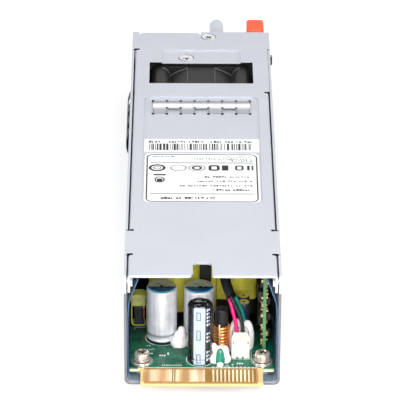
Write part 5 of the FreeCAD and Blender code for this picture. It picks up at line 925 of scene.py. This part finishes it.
print("printing labels")
makeRatingPrint()
makeSerialPrint()


# Board print and pads near the card edge

boardPrint = {
    "color": (226, 232, 226), "lift": 0.02, "canGap": 0.35, "canLine": 0.22,
    "edgeBar": (-19.0, -90.5, 17.6, -90.2),
    "rings": [(13.5, -71.6, 2.3, 0.18), (13.5, -67.3, 2.3, 0.18), (6.25, -78.5, 3.1, 0.2)],
    "square": (9.0, -85.0, 15.9, -77.9, 0.2), "corner": [(-22.0, -65.8), (-22.0, -64.4), (-18.6, -64.4)],
    "cornerLine": 0.18,
    # rows of small blocks: x, y, count, height
    "blocks": [(-18.7, -81.6, 4, 0.55), (-18.7, -79.2, 3, 0.55), (-18.0, -76.6, 2, 0.5),
               (-13.8, -83.0, 3, 0.8), (-11.2, -82.2, 1, 1.6), (-13.0, -89.0, 9, 0.45),
               (11.2, -88.0, 3, 0.8), (16.6, -82.6, 1, 0.5), (9.6, -88.6, 1, 0.5)],
    "blockWidth": 0.45, "blockPitch": 0.75,
    "ticks": 12, "firstTick": 3.55, "tickPitch": 1.27, "tick": (0.1, 0.3), "tickRun": (-90.15, -89.6),
}
padPrint = {"color": (196, 198, 198), "lift": 0.015, "screws": [(-19.45, -86.2), (19.45, -86.2)],
            "screwRing": (3.45, 0.5), "padRing": (0.42, 0.34, 16),
            "pads": [(-16.0, -78.6), (-8.8, -77.4), (3.6, -81.2), (16.9, -86.0), (17.3, -79.6),
                     (8.0, -88.9)]}
boardTop = place("main_board")[1].z
canPlaces = [(-13.1, -71.0, 4.95), (-1.0, -71.0, 4.95), (-0.7, -85.15, 4.05)]  # x, y, radius


def makeSilkscreen():
    s = boardPrint
    shapes = [bar(*s["edgeBar"])] + stroke(s["corner"], s["cornerLine"])
    shapes += stroke(bar(*s["square"][:4]), s["square"][4], True)
    for x, y, radius, width in s["rings"] + [(x, y, r + s["canGap"], s["canLine"]) for x, y, r in canPlaces]:
        shapes += ring(x, y, radius, width)
    for x, y, count, high in s["blocks"]:
        lefts = [x + k * s["blockPitch"] for k in range(count)]
        shapes += [bar(left, y, left + s["blockWidth"], y + high) for left in lefts]
    (start, stop), (low, high) = s["tick"], s["tickRun"]
    for k in range(s["ticks"]):
        x = s["firstTick"] + s["tickPitch"] * k
        shapes += [bar(x - stop, low, x - start, high), bar(x + start, low, x + stop, high)]
    flatPrint("boardSilkscreen", shapes, boardTop + s["lift"], printInk("silkInk", s["color"], 0.6))


def makePads():
    # tinned rings round the screws and through-hole pads beside parts
    s = padPrint
    shapes = []
    for x, y in s["screws"]:
        shapes += ring(x, y, *s["screwRing"])
    for x, y in s["pads"]:
        shapes += ring(x, y, *s["padRing"])
    flatPrint("boardPads", shapes, boardTop + s["lift"], platedSteel("tinPad", s["color"], 0.35))


print("printing the board")
makeSilkscreen()
makePads()


# Can tops, the sleeve print of the front capacitor and the plug's lines

canTop = {
    "inks": {"canKhaki": (168, 166, 144), "canBlue": (0, 66, 112), "canCyan": (90, 204, 244),
             "canTeal": (40, 112, 126), "canDot": (36, 20, 22), "smallTop": (196, 178, 84)},
    "margin": 0.3, "chord": 0.05, "bulge": 0.24, "rimShare": 0.8, "rimWidth": 0.8, "rimMargin": 0.05,
    "lifts": (0.03, 0.05, 0.07, 0.09), "mark": (0.55, 0.75), "dots": [(-0.1, -0.05), (0.4, -0.45)],
    "dotRadius": 0.7,
    "marks": [(-1.9, 1.0), (-1.1, 1.3), (-0.5, 0.8), (1.0, 0.6), (-2.3, -0.9), (-1.5, -1.0), (1.9, -0.4),
              (-0.7, -1.1)],
    "small": [(13.5, -71.6), (13.5, -67.3)], "smallHeight": 13.8, "smallRadius": 1.75, "smallDot": 0.5,
    "smallLifts": (0.03, 0.06),
}


def makeCanTops():
    s = canTop
    inks = {name: topInk(name, color) for name, color in s["inks"].items()}
    top = place("output_capacitors")[1].z
    half = math.degrees(math.acos(s["chord"]))
    for number, (x, y, radius) in enumerate(canPlaces[:2], start=1):
        inner = radius - s["margin"]

        def front(y, radius, share):
            # the front of a circle, from left to right
            return arc(x, y, radius, None, 24, -90 - half * share, 2 * half * share)

        chord = [(x + inner * t / 8, y - inner * (s["chord"] + s["bulge"] * (1 - (t / 8) ** 2)))
                 for t in range(-8, 9)]
        rim = front(y, inner, s["rimShare"])
        thin = front(y + s["rimWidth"], inner - s["rimMargin"], s["rimShare"])
        marks = [bar(x + dx, y + dy, x + dx + s["mark"][0], y + dy + s["mark"][1]) for dx, dy in s["marks"]]
        dx, dy = s["dots"][number - 1]
        for name, shapes, layer, ink in (
                ("canTop", [arc(x, y, inner)], 0, "canKhaki"),
                ("canBand", [front(y, inner, 1) + chord[::-1]], 1, "canBlue"),
                ("canRim", [rim + thin[::-1]], 2, "canCyan"), ("canMarks", marks, 2, "canTeal"),
                ("canDot", [arc(x + dx, y + dy, s["dotRadius"], steps=16)], 3, "canDot")):
            flatPrint("%s%d" % (name, number), shapes, top + s["lifts"][layer], inks[ink])
    low = boardTop + s["smallHeight"]
    for number, (x, y) in enumerate(s["small"], start=1):
        flatPrint("smallTop%d" % number, [arc(x, y, s["smallRadius"], steps=24)], low + s["smallLifts"][0],
                  inks["smallTop"])
        flatPrint("smallDot%d" % number, [arc(x, y, s["smallDot"], steps=14)], low + s["smallLifts"][1],
                  inks["canDot"])


# angles in degrees, heights in millimetres
sleevePrint = {"mark": (74, 82, 102), "word": (196, 204, 220), "box": (-107.0, -88.0),
               "boxes": [(6.0, 3.3), (14.4, 3.7), (21.7, 3.0)], "line": 0.26, "parts": 5, "lift": 0.06,
               "words": [(6.6, 3), (13.4, 3), (19.4, 5)], "wordPitch": 1.35, "wordHeight": 0.85,
               "wordRun": (-60.0, -52.0), "unitRun": (-49.0, -41.0), "unitShort": 3, "unit": (0.2, 0.7)}


def makeSleevePrint():
    s = sleevePrint
    x, y, radius = canPlaces[2]
    left, right = s["box"]
    side = math.degrees(s["line"] / radius)

    def wrap(angle, height, offset):
        # puts (degrees, height) on the upright can
        a = math.radians(angle)
        return (x + (radius + offset) * math.cos(a), y + (radius + offset) * math.sin(a), height)

    outlines, words = [], []
    step = (right - left) / s["parts"]
    for z, tall in s["boxes"]:
        stop = z + tall
        outlines += [bar(left, z, left + side, stop), bar(right - side, z, right, stop)]
        for low, high in ((z, z + s["line"]), (stop - s["line"], stop)):  # in parts that follow the can
            outlines += [bar(left + step * k, low, left + step * (k + 1), high) for k in range(s["parts"])]
    for base, count in s["words"]:
        # plain blocks in place of the printed values
        for k in range(count):
            z = base + s["wordPitch"] * k
            words.append(bar(s["wordRun"][0], z, s["wordRun"][1], z + s["wordHeight"]))
            words.append(bar(s["unitRun"][0], z + s["unit"][0],
                             s["unitRun"][1] - s["unitShort"] * (k % 2), z + s["unit"][1]))
    flatPrint("sleeveMarks", outlines, s["lift"], printInk("stripeMark", s["mark"], 0.4), lay=wrap)
    flatPrint("sleeveWords", words, s["lift"], printInk("wordPale", s["word"], 0.4), lay=wrap)


plugPrint = {"inks": {"mouldLine": (168, 152, 128), "latchWindow": (138, 106, 72),
                      "plugShade": (206, 200, 190)},
             "seam": (0.14, 0.02), "wall": (0.55, 0.67), "wallFoot": 5.2, "window": (0.35, 0.8),
             "windowRun": (1.0, 0.3), "slopeFoot": (0.35, 0.1), "slopeTop": (1.0, 0.35),
             "holes": [(11.15, -82.4), (13.1, -82.4)], "holeRing": (0.82, 0.2, 20), "lift": 0.02,
             "plugLift": 0.03, "windowLift": 0.01}


def makePlugLines():
    # mould lines, latch windows and wire holes of the plug and its header
    s = plugPrint
    low, high = place("fan_header")
    plugLow, plugHigh = place("fan_plug")
    inks = {name: printInk(name, color) for name, color in s["inks"].items()}
    left, right, top = low.x, high.x, high.z

    def upright(face):
        # lays (x, z) on a wall that faces the card edge
        return lambda x, z, offset: (x, face - offset, z)

    def pair(inset, foot, head):
        # a bar near each side of the header
        start, stop = inset
        return [bar(left + start, foot, left + stop, head), bar(right - stop, foot, right - start, head)]

    lines = [bar(left, top - s["seam"][0], right, top + s["seam"][1])] + pair(s["wall"], s["wallFoot"], top)
    windows = pair(s["window"], top - s["windowRun"][0], top - s["windowRun"][1])
    # painted shade: a darker patch on the plug's front wall, from the header's top up to near the plug's top
    (foot, rise), (head, fall) = s["slopeFoot"], s["slopeTop"]
    slope = [[(left + foot, top + rise), (right - foot, top + rise), (right - head, plugHigh.z - fall),
              (left + head, plugHigh.z - fall)]]
    holes = [patch for x, y in s["holes"] for patch in ring(x, y, *s["holeRing"])]
    onHeader, onPlug = upright(low.y - s["lift"]), upright(plugLow.y - s["plugLift"])
    for name, shapes, height, ink, lay in (
            ("headerLines", lines, 0.0, "mouldLine", onHeader),
            ("headerWindows", windows, s["windowLift"], "latchWindow", onHeader),
            ("plugSlope", slope, 0.0, "plugShade", onPlug),
            ("wireHoles", holes, plugHigh.z + s["lift"], "latchWindow", flat)):
        flatPrint(name, shapes, height, inks[ink], lay)


print("dressing the capacitors")
makePlugLines()
makeCanTops()
makeSleevePrint()


# Rod choke: a wound wire and the shrink sleeve on the rod's head; heights count from the board

chokeWire = {"radius": 0.52, "turns": 7.5, "coilRadius": 2.16, "rise": (0.9, 9.7), "steps": 14,
             "start": (1.944, -0.8, 0.1), "tailRadius": 0.42, "tailColor": (255, 214, 158),
             "tail": [(-0.7, -1.9, 10.1), (-0.7, -2.55, 9.3), (-0.65, -2.85, 6.0), (-0.7, -2.8, 2.4),
                      (-0.7, -2.6, 0.2)]}
# the sleeve's rows hold radius and height from the rod's top
chokeTube = {"color": (16, 17, 24), "streak": (168, 172, 190), "sides": 9, "wobble": 0.05, "bevel": 0.12,
             "turn": 0.3, "phase": 0.6,
             "rows": [(1.75, -5.35), (1.92, -5.05), (2.02, -2.75), (1.98, -0.15), (1.93, -0.03),
                      (1.75, -0.03), (1.7, -0.4), (0.02, -0.4)]}


def tubeCurve(name, points, radius, material, node=None):
    # a round wire along points, as a curve
    data = bpy.data.curves.new(name, "CURVE")
    data.dimensions = "3D"
    data.bevel_depth = radius * mm
    data.bevel_resolution = 4
    spline = data.splines.new("NURBS")
    spline.points.add(len(points) - 1)
    for spot, point in zip(spline.points, points):
        spot.co = (*(Vector(point) * mm), 1.0)
    spline.order_u = 3
    spline.use_endpoint_u = True
    data.materials.append(material)
    wire = linked(name, data)
    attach(wire, "casing")
    if node:
        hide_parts(node)


def makeChokeWire():
    s = chokeWire
    x, y = middle("rod_choke_winding")
    count = int(s["turns"] * s["steps"])
    start, stop = s["rise"]
    coil = [(x + s["start"][0], y + s["start"][1], boardTop + s["start"][2])]
    for k in range(count + 1):
        angle = 2 * math.pi * k / s["steps"]
        coil.append((x + s["coilRadius"] * math.cos(angle), y + s["coilRadius"] * math.sin(angle),
                     boardTop + start + (stop - start) * k / count))
    tail = [(x + dx, y + dy, boardTop + dz) for dx, dy, dz in s["tail"]]
    tubeCurve("chokeCoil", coil, s["radius"], copperWire, "rod_choke_winding")
    tubeCurve("chokeTail", tail, s["tailRadius"], enamelledCopper("brightCopper", s["tailColor"]))


def makeChokeSleeve():
    # faceted shrink tube, a little pinched, open at the top, with a painted highlight streak down its left
    # front
    s = chokeTube
    finish = Finish("shrinkTube", s["color"], 0.22, coat=1.0)
    side, front, up = finish.facing()
    grain = finish.noise(0.5)
    streak = finish.fade(abs(side + 0.2), 0.08, 0.3, 1.0, 0.0) * (front < 0) * (abs(up) < 0.5)
    finish.polish(grain, 0.18, 0.28)
    shell = finish.done(finish.mix(streak * 0.55, finish.color, paint(s["streak"])), 0.25, grain, 0.01)
    x, y = middle("rod_choke_core")
    top = place("rod_choke_core")[1].z
    points = []
    for radius, rise in s["rows"]:
        for k in range(s["sides"]):
            angle = 2 * math.pi * (k + s["turn"]) / s["sides"]
            reach = radius * (1 + s["wobble"] * math.sin(3 * angle + s["phase"]))
            points.append((x + reach * math.cos(angle), y + reach * math.sin(angle), top + rise))
    sleeve = makePiece("chokeShrinkTube", points, wound(len(s["rows"]), s["sides"]), shell)
    bevelled(sleeve, s["bevel"])


print("winding the choke")
makeChokeWire()
makeChokeSleeve()


# Compound lumps, coil front, bead and painted shade over the strip holes

# joined soft balls: centre, radius, height share
lumps = {
    "compoundLeft": [((-7.4, -75.2, 5.6), 2.95, 0.95), ((-7.1, -75.0, 7.7), 2.15, 1.15),
                     ((-6.7, -74.9, 10.0), 1.25, 1.2)],
    "compoundRight": [((6.1, -85.0, 6.4), 2.75, 1.35), ((3.9, -86.5, 6.0), 1.75, 1.25),
                      ((7.8, -86.4, 6.0), 1.6, 1.2), ((3.8, -84.9, 9.4), 1.15, 1.5),
                      ((5.8, -88.9, 5.2), 1.15, 1.0), ((7.3, -84.9, 8.6), 1.3, 1.2)],
    "compoundRear": [((11.0, -77.0, 8.6), 2.5, 2.9), ((14.9, -76.9, 8.4), 2.1, 3.2),
                     ((13.2, -77.1, 12.4), 1.9, 1.8)],
}
lumpLook = {"voxel": 0.22, "smoothing": 0.8, "passes": 6}


def makeLump(name, balls):
    work = bmesh.new()
    for centre, radius, stretch in balls:
        matrix = Matrix.Translation(Vector(centre) * mm) @ Matrix.Diagonal((1, 1, stretch, 1))
        bmesh.ops.create_icosphere(work, subdivisions=3, radius=radius * mm, matrix=matrix)
    mesh = bpy.data.meshes.new(name)
    work.to_mesh(mesh)
    work.free()
    piece = linked(name, mesh)
    remesh = piece.modifiers.new("Remesh", "REMESH")
    remesh.mode = "VOXEL"
    remesh.voxel_size = lumpLook["voxel"] * mm
    smooth = piece.modifiers.new("Smooth", "SMOOTH")
    smooth.factor = lumpLook["smoothing"]
    smooth.iterations = lumpLook["passes"]
    bakeModifiers(piece)
    for vertex in piece.data.vertices:
        vertex.co.z = max(vertex.co.z, boardTop * mm)
    for polygon in piece.data.polygons:
        polygon.use_smooth = True
    piece.data.materials.clear()
    piece.data.materials.append(compoundWhite)
    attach(piece, "casing")
    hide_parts("fixing_compound")


# folded film above, a black former with a copper end below: corners, finish, bevel, slot
coilFront = {
    "filmFlap": ((-22.9, -63.3, 12.3), (-18.5, -62.9, 16.3), 0.15, "film_yellow",
                 clouded("filmFlap", (176, 178, 104), 0.3, (1.6,), (0.8, 1.1), (0.2, 0.1))),
    "coilFormer": ((-22.2, -63.35, 5.5), (-19.5, -62.9, 12.1), 0.25, "bobbin_black", blackPlastic),
    "coilEnd": ((-19.35, -63.3, 7.4), (-18.75, -62.9, 12.0), 0.2, "copper",
                enamelledCopper("coilCopper", (186, 96, 60))),
}


def makeBevelled(name, lists, material, bevel, segments):
    bevelled(makePiece(name, *lists, material), bevel, segments)


def makeCoilFront():
    for name, (low, high, bevel, slotName, material) in coilFront.items():
        lists = [], []
        addBlock(lists, low, high)
        makeBevelled(name, lists, material, bevel, 2)


beadDrop = {"place": (5.8, -87.4), "profile": [(0, 5.3), (0.5, 5.2), (0.95, 4.7), (1.2, 3.9), (1.35, 2.9),
                                               (1.6, 1.9), (1.68, 1.2), (1.5, 0.6), (0, 0.6)]}


def makeBead():
    # the thermistor's dipped bead: a drop that widens towards the compound
    bead = turned("beadDrop", beadDrop["profile"], (*beadDrop["place"], boardTop), beadTeal, 32)
    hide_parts("bead_thermistor")


# rows of holes: from, to, height
stripHoles = {"rows": [(24.3, 25.5, 39.52), (34.0, 35.5, 39.75)], "width": 0.8, "pitch": 4.84, "count": 8,
              "color": (5, 5, 6)}


def makeStripHoles():
    # painted shade: dark patches over the relief holes at the corners of the contact strip's cells
    s = stripHoles
    shapes, levels = [], {}
    for k in range(s["count"]):
        x = (k - (s["count"] - 1) / 2) * s["pitch"]
        for near, far, level in s["rows"]:
            shapes.append(bar(x - s["width"] / 2, near, x + s["width"] / 2, far))
            levels.update({near: level, far: level})
    flatPrint("stripHoles", shapes, 0, printInk("holeDark", s["color"]),
              lambda x, y, z: (x, y, levels[y]))


print("shaping the compound")
makeCoilFront()
makeBead()
makeStripHoles()
for lumpName, balls in lumps.items():
    makeLump(lumpName, balls)


# Small parts on the upright control board

smallParts = {"count": 72, "seed": 5, "lengths": (0.8, 1.2, 1.6), "height": 0.55, "thickness": (0.4, 0.75),
              "from": (0.3, 2.0), "reach": (9.0, 26.0), "left": 0.6, "brown": 0.45, "cap": 0.2,
              "capOver": 0.02, "bevel": 0.06}


def makeSmallParts():
    s = smallParts
    low, high = place("control_board")
    rolls = random.Random(s["seed"])
    caps, bodies, browns = ([], []), ([], []), ([], [])
    over = s["capOver"]
    for _ in range(s["count"]):
        left = rolls.random() < s["left"]
        along = rolls.choice(s["lengths"])
        tall, cap = along * s["height"], along * s["cap"]
        thick = rolls.uniform(*s["thickness"])
        y = low.y + s["from"][0] + rolls.random() ** 2.0 * s["reach"][0]
        z = low.z + s["from"][1] + rolls.random() * s["reach"][1]
        x0, x1 = (low.x - thick, low.x) if left else (high.x, high.x + thick)
        addBlock(browns if rolls.random() < s["brown"] else bodies, (x0, y + cap, z),
                 (x1, y + along - cap, z + tall))
        for start, stop in ((y, y + cap), (y + along - cap, y + along)):
            addBlock(caps, (x0 - over, start, z - over), (x1 + over, stop, z + tall + over))
    chipDark = moulded("chipDark", (16, 16, 18), 0.4, edge=1.4)
    chipBrown = moulded("chipBrown", (198, 150, 92), 0.4, edge=1.1)
    jointGold = platedSteel("jointGold", (206, 188, 140), 0.35)
    makeBevelled("chipEnds", caps, jointGold, s["bevel"], 1)
    makeBevelled("chipBodies", bodies, chipDark, s["bevel"], 1)
    makeBevelled("chipBrowns", browns, chipBrown, s["bevel"], 1)


print("placing small parts")
makeSmallParts()


# Painted highlights along the edges and valleys of the fan frame, as seen in the cover's window

fanHighlights = {"radius": 0.14, "stem": 11.2, "hub": 4.9, "front": 52.8, "rear": 64.7, "outer": 13.9,
           "lift": 0.05, "steps": 8, "color": (84, 84, 86), "above": 60.0}


def onTop(node, x, y, lift):
    # the point of a node's upper surface below a place
    found, point, _, _ = nodes[node].ray_cast(Vector((x, y, fanHighlights["above"])) * mm, Vector((0, 0, -1)))
    if not found:
        raise RuntimeError("nothing of %s lies at %.1f, %.1f" % (node, x, y))
    return (x, y, point.z / mm + lift)


def makeFanHighlights():
    s = fanHighlights
    plastic = moulded("highlightPlastic", s["color"], 0.4)
    front, rear, steps = s["front"], s["rear"], s["steps"]
    lines = []
    for side in (-1, 1):
        stem, hub, outer = (s[key] * side for key in ("stem", "hub", "outer"))
        lines += [((stem, front), (stem, rear)), ((stem, rear), (outer, rear)), ((stem, rear), (hub, rear)),
                  ((hub, front), (hub, rear))]
    for number, ((x0, y0), (x1, y1)) in enumerate(lines, start=1):
        spots = [onTop("fan_frame", x0 + (x1 - x0) * k / steps, y0 + (y1 - y0) * k / steps, s["lift"])
                 for k in range(steps + 1)]
        tubeCurve("fanHighlight%d" % number, spots, s["radius"], plastic)


# the lines drawn here are painted highlights on the fan frame's edges and valleys
print("adding the fan's webs")
makeFanHighlights()


# Camera at the photograph's angle

cameraLook = {"place": (-6.17, -969.67, 525.10), "yaw": 0.4996, "pitch": 27.7186, "roll": 0.4319,
              "lens": 274.56, "sensor": 36.0, "near": 50.0, "far": 20000.0}


def makeCamera():
    s = cameraLook
    yaw, pitch, roll = (math.radians(s[key]) for key in ("yaw", "pitch", "roll"))
    turn = (Matrix.Rotation(-yaw, 4, "Z") @ Matrix.Rotation(math.pi / 2 - pitch, 4, "X")
            @ Matrix.Rotation(roll, 4, "Z"))
    data = bpy.data.cameras.new("camera")
    data.sensor_width = s["sensor"]
    data.lens = s["lens"]
    data.clip_start = s["near"] * mm
    data.clip_end = s["far"] * mm
    camera = linked("camera", data)
    camera.matrix_world = Matrix.Translation(Vector(s["place"]) * mm) @ turn
    bpy.context.scene.camera = camera


# Floor, world and lamps

studio = {
    "floorColor": (246, 246, 247), "floorWhite": 0.35, "floorGlow": 1.3, "floorCloud": 60.0,
    "floorReach": 6000.0, "floorLevel": -0.2, "worldStrength": 0.42, "skyStrength": 1.0,
    "lamps": {  # place, aim, size, power in watts
        "overhead": ((0.0, -0.7, 0.9), (0.0, -0.15, 0.0), 0.8, 9.0),
        "front": ((0.1, -1.1, 0.5), (0.0, -0.08, 0.01), 0.45, 8.0),
        "left": ((-0.9, -0.5, 0.45), (0.0, -0.05, 0.02), 0.5, 4.0),
        "right": ((0.9, -0.4, 0.45), (0.0, -0.05, 0.02), 0.5, 4.0),
    },
}


def makeFloor():
    s = studio
    finish = Finish("floorPale", s["floorColor"], 0.7)
    finish.polish(finish.noise(s["floorCloud"]), 0.6, 0.8)
    glow = finish.node("Emission", {}, {"Color": (1, 1, 1, 1), "Strength": s["floorGlow"]})
    finish.blend(finish.seenDirectly() * s["floorWhite"], Signal(finish, finish.shader.outputs[0]), glow)
    reach = s["floorReach"]
    corners = [(x, y, 0) for x, y in bar(-reach, -reach, reach, reach)]
    floor = linked("floor", meshOf("floor", corners, [(0, 1, 2, 3)]))
    floor.location.z = s["floorLevel"] * mm
    floor.data.materials.append(finish.material)


def makeWorld():
    world = bpy.data.worlds.new("studioWorld")
    bpy.context.scene.world = world
    network = Network(world, "World Output")
    ground = network.tree.nodes["Background"]
    network.plug(ground.inputs["Color"], (1, 1, 1, 1))
    network.plug(ground.inputs["Strength"], studio["worldStrength"])
    # the brighter sky that is seen past the floor, and in gloss
    sky = network.node("Background", {}, {"Strength": studio["skyStrength"]})
    network.blend(network.seenDirectly(), Signal(network, ground.outputs[0]), sky)


def makeLamps():
    for name, (spot, aim, size, power) in studio["lamps"].items():
        data = bpy.data.lights.new(name, "AREA")
        data.shape = "DISK"
        data.size = size
        data.energy = power
        lamp = linked(name, data)
        lamp.location = spot
        lamp.rotation_mode = "QUATERNION"
        lamp.rotation_quaternion = (Vector(aim) - Vector(spot)).to_track_quat("-Z", "Y")


print("setting the stage")
makeCamera()
makeFloor()
makeWorld()
makeLamps()
bpy.context.scene.view_settings.view_transform = "Standard"
